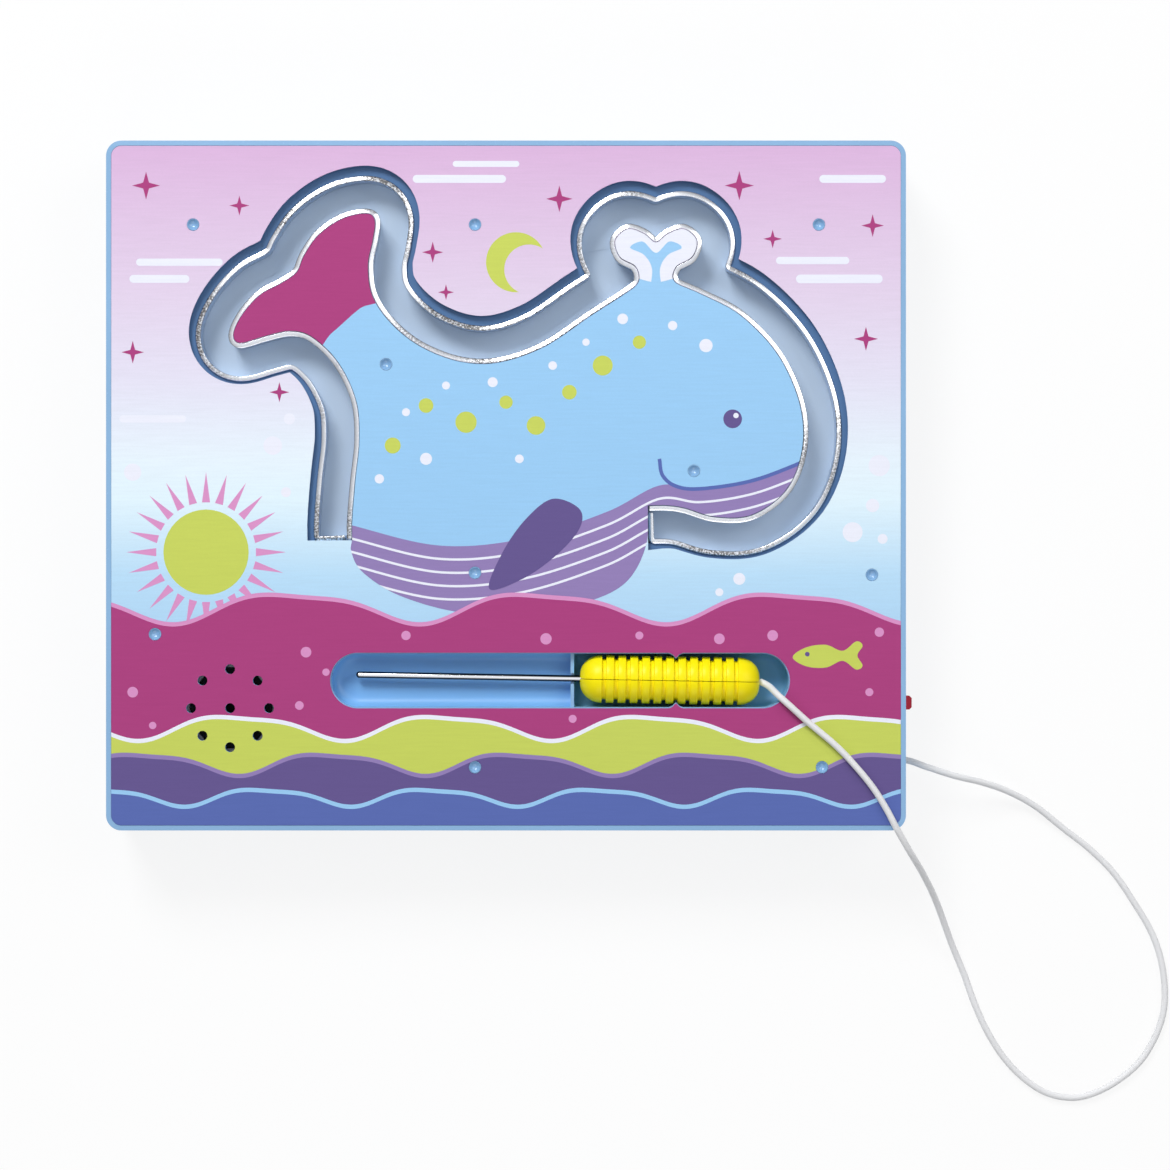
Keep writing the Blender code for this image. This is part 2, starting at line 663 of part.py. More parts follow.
def build_front_cover():
    """The front shell: plate, side walls, track skirts, tray, bosses and speaker ring."""
    cover = prism([case_outline(0.0)], SEAM_Z, FACE_Z)
    rounded_edges(cover, CASE_EDGE_ROUND)
    keep(cover, "front_cover", BLUE_PLASTIC)
    combine(cover, "DIFFERENCE", [prism([case_outline(CASE_WALL)], SEAM_Z - PAST, PLATE_BOTTOM)])

    rooted = PLATE_BOTTOM + FRONT_PLATE / 2
    ring_radius = SPEAKER_RADIUS + GAP
    skirt_far = TRACK_WIDTH + TRACK_SKIRT
    skirt = track_band(-TRACK_SKIRT, skirt_far, -TRACK_SKIRT, -TRACK_SKIRT, HIDDEN_TOLERANCE)
    added = [
        prism([skirt], SKIRT_BOTTOM, rooted),
        prism([tray_outline(TRAY_WALL, False)], ROD_POCKET_Z - TRAY_WALL, rooted),
        prism([half_tray(TRAY_WALL)], HANDLE_POCKET_Z - TRAY_WALL, rooted),
        prism(
            [
                circle(SPEAKER_X, SPEAKER_Y, ring_radius + SPEAKER_RING_WALL, SPEAKER_STEPS),
                circle(SPEAKER_X, SPEAKER_Y, ring_radius, SPEAKER_STEPS),
            ],
            PLATE_BOTTOM - SPEAKER_RING_HEIGHT,
            rooted,
        ),
    ]
    added += [cylinder(x, y, BOSS_RADIUS, PAD_HEIGHT + GAP, rooted, FIXING_SIDES) for x, y in FIXING_PLACES]
    combine(cover, "UNION", added)

    above = FACE_Z + PAST
    divider_left = DIVIDER_X - DIVIDER_THICKNESS / 2
    divider_right = DIVIDER_X + DIVIDER_THICKNESS / 2
    slot_y = TRAY_Y + (DIVIDER_X - STYLUS_X) * math.tan(STYLUS_TILT)
    slot_half = ROD_RADIUS + ROD_SLOT_SIDE
    under_tabs = PLATE_BOTTOM + GAP
    step_near = TRACK_WIDTH - STRIP_THICKNESS
    step_far = TRACK_WIDTH + TRACK_STEP_WIDTH
    pilot_top = PAD_HEIGHT + GAP + PILOT_DEPTH
    removed = [
        prism([case_outline(RIM_WIDTH)], PLATE_TOP, above),
        prism([track_band(0.0, TRACK_WIDTH, 0.0, 0.0)], SKIRT_BOTTOM - PAST, above),
        prism([track_band(step_near, step_far, GAP, GAP)], FACE_Z - TRACK_STEP_DEPTH, above),
        prism([tray_outline(0.0, True)], PLATE_BOTTOM, above),
        prism([tray_part(-math.inf, divider_left)], ROD_POCKET_Z, under_tabs),
        prism([tray_part(divider_right, math.inf)], HANDLE_POCKET_Z, under_tabs),
        prism(
            [rectangle(divider_left - PAST, divider_right + PAST, slot_y - slot_half, slot_y + slot_half)],
            AXIS_Z - slot_half,
            under_tabs,
        ),
        side_hole(CORD_EXIT_Y, CORD_EXIT_Z, CORD_RADIUS + CORD_HOLE_SIDE),
        knob_slot(WALL_X - CASE_WALL - PAST, WALL_X + PAST),
    ]
    removed += [prism([hole], PLATE_BOTTOM - PAST, above) for hole in sound_holes()]
    removed += [pit_cutter(x, y) for x, y in FIXING_PLACES]
    for x, y in FIXING_PLACES:
        removed.append(cylinder(x, y, SCREW_RADIUS + SCREW_SIDE, PAD_HEIGHT - PAST, pilot_top, FIXING_SIDES))
    combine(cover, "DIFFERENCE", removed)


def side_hole(y, z, radius):
    """A round cutter through the right side wall."""
    bar = cylinder(0.0, 0.0, radius, -CASE_WALL - PAST, PAST, ROUND_SIDES)
    bar.rotation_euler = (0.0, math.pi / 2, 0.0)
    bar.location = (WALL_X - CASE_WALL / 2, y, z)
    return bar


def knob_slot(x_low, x_high):
    """A cutter for the space that the switch knob slides in."""
    half = KNOB_WIDTH / 2 + KNOB_SIDE
    low = SWITCH_Z - KNOB_HEIGHT / 2 - KNOB_SIDE
    high = SWITCH_Z + KNOB_HEIGHT / 2 + KNOB_SIDE
    return prism([rectangle(x_low, x_high, SWITCH_Y - half, SWITCH_Y + SWITCH_TRAVEL + half)], low, high)


def pit_cutter(x, y):
    """A shallow cone-sided pit in the face plate."""
    profile = [
        (0.0, PLATE_TOP + PAST),
        (PIT_RADIUS, PLATE_TOP + PAST),
        (PIT_RADIUS, PLATE_TOP),
        (0.0, PLATE_TOP - PIT_DEPTH),
    ]
    pit = turned(profile, PIT_SIDES)
    pit.location = (x, y, 0.0)
    return pit


def build_printed_sheet():
    """The sheet over the face, open at the track, the tray, the pits and the sound holes."""
    track_hole = track_band(-GAP, TRACK_WIDTH + TRACK_STEP_WIDTH + GAP, -GAP, -GAP)
    loops = [case_outline(RIM_WIDTH + GAP), track_hole, tray_outline(GAP, True)]
    loops += sound_holes()
    loops += [circle(x, y, PIT_RADIUS + GAP, PIT_SIDES) for x, y in FIXING_PLACES]
    keep(prism(loops, SHEET_BOTTOM, SHEET_TOP), "printed_sheet", PRINT)


def build_track():
    """The two floor sheets of the track and the contact strips along its walls."""
    length = np.sum(np.linalg.norm(np.diff(EDGE_PATH, axis=0), axis=1))
    seam = length * FLOOR_SEAM
    near = -FLOOR_OVERLAP
    far = TRACK_WIDTH + FLOOR_OVERLAP
    spans = ((-FLOOR_OVERLAP, length - seam + GAP / 2), (seam + GAP / 2, -FLOOR_OVERLAP))
    for n, (head, tail) in enumerate(spans, start=1):
        outline = track_band(near, far, head, tail, HIDDEN_TOLERANCE)
        sheet = prism([outline], FLOOR_TOP - FLOOR_THICKNESS, FLOOR_TOP)
        keep(sheet, f"track_floor_{n}", TRACK_METAL)

    inner_path = cut_back(EDGE_PATH, STRIP_CLEARANCE, STRIP_CLEARANCE)
    inner = offset_path(inner_path, STRIP_CLEARANCE + STRIP_THICKNESS)
    strip = ribbon(inner, SKIRT_BOTTOM, FACE_Z - INNER_STRIP_DEPTH, STRIP_THICKNESS)
    keep(strip, "inner_contact_strip", BRIGHT_STEEL)

    end_cut = STRIP_CLEARANCE + STRIP_THICKNESS
    outer_path = cut_back(EDGE_PATH, end_cut, end_cut)
    outer = offset_path(outer_path, TRACK_WIDTH - STRIP_CLEARANCE - STRIP_THICKNESS)
    return_reach = STRIP_CLEARANCE + STRIP_THICKNESS + GAP
    across = offset_path(outer_path, return_reach)
    run = np.vstack((across[:1], outer, across[-1:]))
    strip = ribbon(run[::-1], SKIRT_BOTTOM, FACE_Z - OUTER_STRIP_DEPTH, STRIP_THICKNESS)
    keep(strip, "outer_contact_strip", BRIGHT_STEEL)


def build_rear_cover():
    """The rear shell: flat back, low walls with a lip, screw pads, board posts and the battery bay."""
    cover = prism([case_outline(0.0)], 0.0, REAR_DEPTH)
    rounded_edges(cover, CASE_EDGE_ROUND)
    keep(cover, "rear_cover", BLUE_PLASTIC)
    combine(cover, "DIFFERENCE", [prism([case_outline(CASE_WALL)], REAR_PLATE, REAR_DEPTH + PAST)])

    rooted = REAR_PLATE / 2
    lip_inset = CASE_WALL + GAP
    lip_top = REAR_DEPTH + LIP_HEIGHT
    added = [
        prism([case_outline(lip_inset), case_outline(lip_inset + LIP_THICKNESS)], rooted, lip_top),
        prism([bay_outline(BAY_WALL)], rooted, BAY_CEILING + BAY_WALL),
        cylinder(BAY_X, door_screw_y(), DOOR_POST_RADIUS, rooted, DOOR_POST_HEIGHT, ROUND_SIDES),
    ]
    added += [cylinder(x, y, PAD_RADIUS, rooted, PAD_HEIGHT, FIXING_SIDES) for x, y in FIXING_PLACES]
    added += [cylinder(x, y, POST_RADIUS, rooted, BOARD_Z - GAP, ROUND_SIDES) for x, y in board_fixings()]
    combine(cover, "UNION", added)

    seat = SCREW_HEAD_SINK + SCREW_HEAD_HEIGHT + GAP
    pilot_top = DOOR_POST_HEIGHT - BAY_WALL
    removed = [
        prism([bay_outline(0.0)], -PAST, BAY_CEILING),
        prism([door_outline(GAP)], -PAST, DOOR_RECESS),
        cylinder(BAY_X, door_screw_y(), DOOR_SCREW_RADIUS + SCREW_SIDE, -PAST, pilot_top, ROUND_SIDES),
    ]
    for x, y in FIXING_PLACES:
        removed.append(cylinder(x, y, SCREW_HEAD_RADIUS + SCREW_SIDE, -PAST, seat, FIXING_SIDES))
        removed.append(cylinder(x, y, SCREW_RADIUS + SCREW_SIDE, -PAST, PAD_HEIGHT + PAST, FIXING_SIDES))
    for x, y in board_fixings():
        low = BOARD_TOP - BOARD_SCREW_LENGTH - GAP
        removed.append(cylinder(x, y, BOARD_SCREW_RADIUS + SCREW_SIDE, low, BOARD_Z + PAST, FIXING_SIDES))
    combine(cover, "DIFFERENCE", removed)


def bay_outline(grow):
    """The battery bay's loop, grown by a margin."""
    across = BAY_WIDTH / 2 + grow
    along = BAY_LENGTH / 2 + grow
    return shift(rectangle(-across, across, -along, along), BAY_X, BAY_Y)


def door_outline(grow):
    """The battery door's loop: the bay with a ledge all round and a tail for the screw."""
    width = BAY_WIDTH + 2 * (DOOR_LEDGE + grow)
    length = BAY_LENGTH + DOOR_TAIL + 2 * (DOOR_LEDGE + grow)
    loop = rounded_rectangle(width, length, DOOR_CORNER_RADIUS + grow)
    return shift(loop, BAY_X, BAY_Y - DOOR_TAIL / 2)


def door_screw_y():
    """Where the battery door's screw is, in the door's tail."""
    return BAY_Y - BAY_LENGTH / 2 - BAY_WALL - DOOR_POST_RADIUS - GAP


def board_fixings():
    """Where the circuit board's screws are."""
    return [(BOARD_X + x, BOARD_Y + y) for x, y in BOARD_FIXINGS]


def build_battery_door():
    """The door over the cells, flush with the back, and its screw."""
    hole = circle(BAY_X, door_screw_y(), DOOR_SCREW_RADIUS + SCREW_SIDE, ROUND_SIDES)
    door = prism([door_outline(0.0), hole], 0.0, DOOR_THICKNESS)
    keep(door, "battery_door", BLUE_PLASTIC)
    sink_radius = DOOR_SCREW_HEAD_RADIUS + SCREW_SIDE
    sink_top = DOOR_SCREW_SINK + DOOR_SCREW_HEAD_HEIGHT + GAP
    sink = cylinder(BAY_X, door_screw_y(), sink_radius, -PAST, sink_top, ROUND_SIDES)
    combine(door, "DIFFERENCE", [sink])
    screw = screw_solid(
        DOOR_SCREW_RADIUS, DOOR_SCREW_HEAD_RADIUS, DOOR_SCREW_HEAD_HEIGHT, DOOR_SCREW_LENGTH, FIXING_SIDES
    )
    screw.location = (BAY_X, door_screw_y(), DOOR_SCREW_SINK)
    keep(screw, "battery_door_screw", SCREW_STEEL)


def build_case_screws():
    """One screw from the back under each pit of the face."""
    for n, (x, y) in enumerate(FIXING_PLACES, start=1):
        screw = screw_solid(SCREW_RADIUS, SCREW_HEAD_RADIUS, SCREW_HEAD_HEIGHT, SCREW_LENGTH, FIXING_SIDES)
        screw.location = (x, y, SCREW_HEAD_SINK)
        keep(screw, f"case_screw_{n}", SCREW_STEEL)


def build_cells():
    """The cells, laid head to tail, and the contact plates at the ends of the bay."""
    half = CELL_LENGTH / 2
    profile = [
        (0.0, half + CELL_NUB_LENGTH),
        (CELL_NUB_RADIUS, half + CELL_NUB_LENGTH),
        (CELL_NUB_RADIUS, half),
        (CELL_RADIUS - CELL_SHOULDER, half),
        (CELL_RADIUS, half - CELL_SHOULDER),
        (CELL_RADIUS, -half + CELL_SHOULDER),
        (CELL_RADIUS - CELL_SHOULDER, -half),
        (0.0, -half),
    ]
    pitch = 2 * (CELL_RADIUS + CELL_SIDE)
    contact_reach = BAY_LENGTH / 2 - CONTACT_THICKNESS / 2 - GAP
    low = CELL_Z - CONTACT_HEIGHT / 2
    high = CELL_Z + CONTACT_HEIGHT / 2
    for n in range(CELL_COUNT):
        side = 1 if n % 2 == 0 else -1
        x = BAY_X + (n - (CELL_COUNT - 1) / 2) * pitch
        cell = turned(profile, CELL_STEPS)
        cell.location = (x, BAY_Y - side * CELL_NUB_LENGTH / 2, CELL_Z)
        cell.rotation_euler = (-side * math.pi / 2, 0.0, 0.0)
        keep(cell, f"cell_{n + 1}", CELL_WRAP)
        y = BAY_Y + contact_reach
        plate = rectangle(
            x - CONTACT_WIDTH / 2, x + CONTACT_WIDTH / 2, y - CONTACT_THICKNESS / 2, y + CONTACT_THICKNESS / 2
        )
        keep(prism([plate], low, high), f"cell_contact_{n + 1}", BRIGHT_STEEL)
    y = BAY_Y - contact_reach
    across = (CELL_COUNT - 1) * pitch / 2 + CONTACT_WIDTH / 2
    bridge = rectangle(BAY_X - across, BAY_X + across, y - CONTACT_THICKNESS / 2, y + CONTACT_THICKNESS / 2)
    keep(prism([bridge], low, high), "cell_bridge_contact", BRIGHT_STEEL)


def build_speaker():
    """The speaker behind the sound holes: frame, cone and magnet."""
    top = PLATE_BOTTOM - GAP
    inner = SPEAKER_RADIUS - SPEAKER_RIM
    waist = MAGNET_RADIUS + SPEAKER_RIM
    frame_profile = [
        (SPEAKER_RADIUS, 0.0),
        (SPEAKER_RADIUS, -SPEAKER_SHOULDER),
        (inner - SPEAKER_RIM, -SPEAKER_SHOULDER - SPEAKER_SHEET),
        (waist, -SPEAKER_HEIGHT),
        (SPEAKER_THROAT, -SPEAKER_HEIGHT),
        (SPEAKER_THROAT, -SPEAKER_HEIGHT + SPEAKER_SHEET),
        (waist - SPEAKER_SHEET, -SPEAKER_HEIGHT + SPEAKER_SHEET),
        (inner - SPEAKER_RIM - SPEAKER_SHEET, -SPEAKER_SHOULDER),
        (inner, -SPEAKER_SHOULDER + SPEAKER_SHEET),
        (inner, 0.0),
    ]
    frame = turned(frame_profile, SPEAKER_STEPS, closed=True)
    frame.location = (SPEAKER_X, SPEAKER_Y, top)
    keep(frame, "speaker_frame", DARK_STEEL)

    rim = inner - GAP
    cone_profile = [
        (0.0, -CONE_DEPTH),
        (CONE_DOME_RADIUS, -CONE_DEPTH - GAP),
        (rim, -SPEAKER_SHEET),
        (rim, -2 * SPEAKER_SHEET),
        (CONE_DOME_RADIUS, -CONE_DEPTH - GAP - SPEAKER_SHEET),
        (0.0, -CONE_DEPTH - SPEAKER_SHEET),
    ]
    cone = turned(cone_profile, SPEAKER_STEPS)
    cone.location = (SPEAKER_X, SPEAKER_Y, top)
    keep(cone, "speaker_cone", BLACK_PAPER)

    magnet = cylinder(0.0, 0.0, MAGNET_RADIUS, -MAGNET_HEIGHT, 0.0, SPEAKER_STEPS)
    magnet.location = (SPEAKER_X, SPEAKER_Y, top - SPEAKER_HEIGHT - GAP - MAGNET_HEIGHT / 2)
    keep(magnet, "speaker_magnet", DARK_STEEL)


def build_board():
    """The circuit board with its chip, capacitor and screws."""
    edge = shift(
        rectangle(-BOARD_WIDTH / 2, BOARD_WIDTH / 2, -BOARD_LENGTH / 2, BOARD_LENGTH / 2), BOARD_X, BOARD_Y
    )
    holes = [circle(x, y, BOARD_SCREW_RADIUS + SCREW_SIDE, FIXING_SIDES) for x, y in board_fixings()]
    keep(prism([edge, *holes], BOARD_Z, BOARD_TOP), "circuit_board", BOARD_GREEN)

    seat = BOARD_TOP + GAP
    chip_x, chip_y = CHIP_PLACE
    chip = shift(rounded_rectangle(CHIP_SIDE, CHIP_SIDE, CHIP_CORNER), BOARD_X + chip_x, BOARD_Y + chip_y)
    keep(prism([chip], seat, seat + CHIP_HEIGHT), "sound_chip", BLACK_PLASTIC)
    can_x, can_y = CAPACITOR_PLACE
    capacitor = cylinder(
        BOARD_X + can_x, BOARD_Y + can_y, CAPACITOR_RADIUS, seat, seat + CAPACITOR_HEIGHT, ROUND_SIDES
    )
    keep(capacitor, "capacitor", BLACK_PLASTIC)

    for n, (x, y) in enumerate(board_fixings(), start=1):
        screw = screw_solid(
            BOARD_SCREW_RADIUS,
            BOARD_SCREW_HEAD_RADIUS,
            BOARD_SCREW_HEAD_HEIGHT,
            BOARD_SCREW_LENGTH + BOARD_SCREW_HEAD_HEIGHT,
            FIXING_SIDES,
        )
        screw.rotation_euler = (math.pi, 0.0, 0.0)
        screw.location = (x, y, seat + BOARD_SCREW_HEAD_HEIGHT)
        keep(screw, f"board_screw_{n}", SCREW_STEEL)


def build_switch():
    """The slide switch on the board and its knob, which comes out through the right side wall."""
    x_high = WALL_X - SWITCH_SETBACK
    x_low = x_high - SWITCH_LENGTH
    y = SWITCH_Y + SWITCH_TRAVEL / 2
    body_outline = rectangle(x_low, x_high, y - SWITCH_WIDTH / 2, y + SWITCH_WIDTH / 2)
    body = prism([body_outline], BOARD_TOP + GAP, BOARD_TOP + GAP + SWITCH_HEIGHT)
    keep(body, "slide_switch_body", BRIGHT_STEEL)
    knob_back = WALL_X + KNOB_REACH - KNOB_INSERT - SWITCH_SETBACK
    combine(body, "DIFFERENCE", [knob_slot(knob_back - KNOB_SIDE, WALL_X)])

    front = WALL_X + KNOB_REACH
    half = KNOB_WIDTH / 2
    outline = [
        (knob_back, -half),
        (front - KNOB_CHAMFER, -half),
        (front, -half + KNOB_CHAMFER),
        (front, half - KNOB_CHAMFER),
        (front - KNOB_CHAMFER, half),
        (knob_back, half),
    ]
    knob = prism([outline], -KNOB_HEIGHT / 2, KNOB_HEIGHT / 2)
    knob.location = (0.0, SWITCH_Y, SWITCH_Z)
    keep(knob, "slide_switch_knob", RED_PLASTIC)


def handle_profile():
    """The handle's half outline: a dome at each end and ring grooves between."""
    half = HANDLE_LENGTH / 2
    dome = []
    for n in range(DOME_STEPS + 1):
        angle = math.pi / 2 * n / DOME_STEPS
        radius = HANDLE_TIP_RADIUS + (HANDLE_RADIUS - HANDLE_TIP_RADIUS) * math.sin(angle)
        dome.append((radius, half - HANDLE_DOME * (1 - math.cos(angle))))
    profile = [(0.0, half), *dome]
    for n in range(GROOVE_COUNT):
        middle = ((GROOVE_COUNT - 1) / 2 - n) * GROOVE_PITCH
        for radius, z in (
            (HANDLE_RADIUS, middle + GROOVE_WIDTH / 2),
            (HANDLE_RADIUS - GROOVE_DEPTH, middle + GROOVE_WIDTH / 2),
            (HANDLE_RADIUS - GROOVE_DEPTH, middle - GROOVE_WIDTH / 2),
            (HANDLE_RADIUS, middle - GROOVE_WIDTH / 2),
        ):
            profile.append((radius, z))
    profile += [(radius, -z) for radius, z in reversed(dome)]
    profile.append((0.0, -half))
    return profile


def build_stylus():
    """The stylus in its tray: a steel rod in a ribbed handle, whose two halves part along an upright plane."""
    axis = bpy.data.objects.new("stylus_axis", None)
    axis.location = (STYLUS_X, TRAY_Y, AXIS_Z)
    axis.rotation_euler = (0.0, 0.0, STYLUS_TILT)
    PARTS.objects.link(axis)

    half = HANDLE_LENGTH / 2
    reach = HANDLE_RADIUS + PAST
    rod_bore = ROD_RADIUS + GAP
    cord_bore = CORD_RADIUS + GAP
    for name, side in (("handle_upper_half", 1), ("handle_lower_half", -1)):
        handle = turned(handle_profile(), HANDLE_STEPS)
        handle.rotation_euler = (0.0, math.pi / 2, 0.0)
        handle.parent = axis
        keep(handle, name, YELLOW_PLASTIC)
        low, high = (-reach, GAP / 2) if side > 0 else (-GAP / 2, reach)
        away = prism([rectangle(-half - PAST, half + PAST, low, high)], -reach, reach)
        rod_space = cylinder(0.0, 0.0, rod_bore, -half - PAST, -half + ROD_INSERT + GAP, ROUND_SIDES)
        cord_space = cylinder(0.0, 0.0, cord_bore, half - CORD_SOCKET, half + PAST, ROUND_SIDES)
        for bore in (rod_space, cord_space):
            centre = bore.location.z
            bore.rotation_euler = (0.0, math.pi / 2, 0.0)
            bore.location = (centre, 0.0, 0.0)
        for cutter in (away, rod_space, cord_space):
            cutter.parent = axis
        combine(handle, "DIFFERENCE", [away, rod_space, cord_space])

    length = ROD_REACH + ROD_INSERT
    rod = turned(
        [
            (0.0, length),
            (ROD_RADIUS, length),
            (ROD_RADIUS, ROD_RADIUS / 2),
            (ROD_RADIUS / 2, 0.0),
            (0.0, 0.0),
        ],
        ROUND_SIDES,
    )
    rod.rotation_euler = (0.0, math.pi / 2, 0.0)
    rod.location = (-half - ROD_REACH, 0.0, 0.0)
    rod.parent = axis
    keep(rod, "stylus_rod", BRIGHT_STEEL)


def build_cord():
    """The cord from the stylus over the face and the table to the side wall, and its stop inside."""
    route = list(CORD_LEAD)
    route += [(WALL_X + x, -WALL_Y + y, z) for x, y, z in CORD_LOOP]
    route.append((WALL_X, CORD_EXIT_Y, CORD_EXIT_Z))
    route.append((WALL_X - CORD_TAIL, CORD_EXIT_Y, CORD_EXIT_Z))
    tube(smooth_run(route, CORD_SPACING), CORD_RADIUS, CORD_STEPS, "stylus_cord", CORD_WHITE)
    inner = CORD_RADIUS + GAP
    profile = [
        (inner + STOP_WALL, STOP_LENGTH / 2),
        (inner + STOP_WALL, -STOP_LENGTH / 2),
        (inner, -STOP_LENGTH / 2),
        (inner, STOP_LENGTH / 2),
    ]
    stop = turned(profile, ROUND_SIDES, closed=True)
    stop.rotation_euler = (0.0, math.pi / 2, 0.0)
    stop.location = (WALL_X - CASE_WALL - GAP - STOP_LENGTH / 2, CORD_EXIT_Y, CORD_EXIT_Z)
    keep(stop, "cord_stop", BRIGHT_STEEL)


def lane_run(start, drop, lane_y, landing):
    """A wire's run from its start down to a lane across the case, and up to the board's left edge."""
    level = PAD_HEIGHT + WIRE_LIFT
    board_level = BOARD_Z + BOARD_THICKNESS / 2
    board_left = BOARD_X - BOARD_WIDTH / 2 - WIRE_RADIUS - GAP
    return (
        start,
        (*drop, level),
        (LANE_LEFT, lane_y, level),
        (LANE_RIGHT, lane_y, level),
        (board_left - WIRE_LEAD, BOARD_Y + landing, board_level),
        (board_left, BOARD_Y + landing, board_level),
    )


def build_wires():
    """Hook-up wires from the board to the cells, the speaker, the track and the cord."""
    board_level = BOARD_Z + BOARD_THICKNESS / 2
    board_left = BOARD_X - BOARD_WIDTH / 2 - WIRE_RADIUS - GAP
    board_back = BOARD_Y - BOARD_LENGTH / 2 - WIRE_RADIUS - GAP
    bay_right = BAY_X + BAY_WIDTH / 2 + BAY_WALL + WIRE_RADIUS + GAP
    magnet_right = SPEAKER_X + MAGNET_RADIUS + WIRE_RADIUS + GAP
    magnet_level = PLATE_BOTTOM - SPEAKER_HEIGHT - MAGNET_HEIGHT / 2
    routes = {}
    for n, pole in enumerate(("positive", "negative")):
        step = n * WIRE_PITCH
        start_y = BAY_Y + BATTERY_START - 2 * step
        drop = (bay_right + WIRE_LEAD, start_y - 2 * WIRE_LEAD)
        routes[f"battery_wire_{pole}"] = lane_run(
            (bay_right, start_y, CELL_Z), drop, BATTERY_LANE_Y - step, BATTERY_LANDING - step
        )
        start_y = SPEAKER_Y + SPEAKER_START * (1 - 2 * n)
        drop = (magnet_right + 2 * WIRE_LEAD, SPEAKER_LANE_Y - step)
        routes[f"speaker_wire_{n + 1}"] = lane_run(
            (magnet_right, start_y, magnet_level), drop, SPEAKER_LANE_Y - step, SPEAKER_LANDING - step
        )

    track_x, track_y = TRACK_WIRE_PLACE
    track_level = FLOOR_TOP - FLOOR_THICKNESS - WIRE_RADIUS - GAP
    landing_y = BOARD_Y + TRACK_LANDING
    routes["track_wire"] = (
        (track_x, track_y, track_level),
        ((track_x + board_left) / 2, (track_y + landing_y) / 2, (track_level + board_level) / 2),
        (board_left - WIRE_LEAD, landing_y, board_level),
        (board_left, landing_y, board_level),
    )
    cord_end = WALL_X - CORD_TAIL - GAP
    landing_x = BOARD_X + CORD_WIRE_LANDING
    routes["cord_wire"] = (
        (cord_end, CORD_EXIT_Y, CORD_EXIT_Z),
        ((cord_end + landing_x) / 2, (CORD_EXIT_Y + board_back) / 2, (CORD_EXIT_Z + board_level) / 2),
        (landing_x, board_back, board_level),
    )
    for name, route in routes.items():
        colour = WIRE_BLACK if name.endswith(("negative", "2", "cord_wire")) else WIRE_RED
        tube(smooth_run(route, WIRE_SPACING), WIRE_RADIUS, WIRE_STEPS, name, colour)


clear_scene()
PARTS = bpy.data.collections.new("steady_hand_game")
CUTTERS = bpy.data.collections.new("cutters")
BLUE_PLASTIC = make_material("blue_plastic", (0.33, 0.55, 0.80), 0.35)
PRINT = make_material("printed_film", (0.74, 0.68, 0.86), 0.30)
TRACK_METAL = make_material("track_metal", (0.45, 0.50, 0.56), 0.35, 0.8)
BRIGHT_STEEL = make_material("bright_steel", (0.80, 0.80, 0.80), 0.15, 1.0)
DARK_STEEL = make_material("dark_steel", (0.20, 0.20, 0.21), 0.45, 1.0)
SCREW_STEEL = make_material("screw_steel", (0.55, 0.55, 0.56), 0.30, 1.0)
YELLOW_PLASTIC = make_material("yellow_plastic", (0.95, 0.80, 0.01), 0.40)
RED_PLASTIC = make_material("red_plastic", (0.55, 0.02, 0.05), 0.40)
BLACK_PLASTIC = make_material("black_plastic", (0.02, 0.02, 0.02), 0.45)
BLACK_PAPER = make_material("black_paper", (0.03, 0.03, 0.03), 0.85)
BOARD_GREEN = make_material("board_green", (0.03, 0.22, 0.08), 0.45)
CELL_WRAP = make_material("cell_wrap", (0.10, 0.10, 0.11), 0.35)
CORD_WHITE = make_material("white_cord", (0.86, 0.86, 0.85), 0.50)
WIRE_RED = make_material("red_wire", (0.50, 0.02, 0.02), 0.50)
WIRE_BLACK = make_material("black_wire", (0.03, 0.03, 0.03), 0.50)
EDGE_PATH = smooth_run(TRACK_EDGE, PATH_SPACING)

build_front_cover()
build_printed_sheet()
build_track()
build_rear_cover()
build_battery_door()
build_case_screws()
build_cells()
build_speaker()
build_board()
build_switch()
build_stylus()
build_cord()
build_wires()

for collection in (PARTS, CUTTERS):
    bpy.context.scene.collection.children.link(collection)
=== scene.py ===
"""Looks of a steady-hand track game: finer pieces over the part's frame, finishes, light and camera."""

import math

import bmesh
import bpy
import numpy as np
from mathutils import Matrix, Vector


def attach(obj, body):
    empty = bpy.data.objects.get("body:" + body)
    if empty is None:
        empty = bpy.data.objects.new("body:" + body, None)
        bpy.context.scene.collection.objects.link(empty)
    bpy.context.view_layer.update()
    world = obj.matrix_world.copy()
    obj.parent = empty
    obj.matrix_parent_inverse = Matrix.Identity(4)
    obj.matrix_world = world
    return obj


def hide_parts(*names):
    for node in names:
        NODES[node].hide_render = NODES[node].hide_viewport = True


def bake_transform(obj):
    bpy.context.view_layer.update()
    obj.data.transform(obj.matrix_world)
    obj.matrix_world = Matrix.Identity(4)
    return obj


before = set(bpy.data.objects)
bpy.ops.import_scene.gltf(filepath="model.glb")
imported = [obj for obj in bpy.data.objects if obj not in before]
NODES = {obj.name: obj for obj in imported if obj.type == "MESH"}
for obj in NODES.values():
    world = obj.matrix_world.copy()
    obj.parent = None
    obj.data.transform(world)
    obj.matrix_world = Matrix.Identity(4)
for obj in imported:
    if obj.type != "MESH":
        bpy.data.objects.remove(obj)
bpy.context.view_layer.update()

# Lengths are in metres, and points in tables are in millimetres unless they are shares
MM = 0.001
WELD = 0.000001
PAST = 0.002

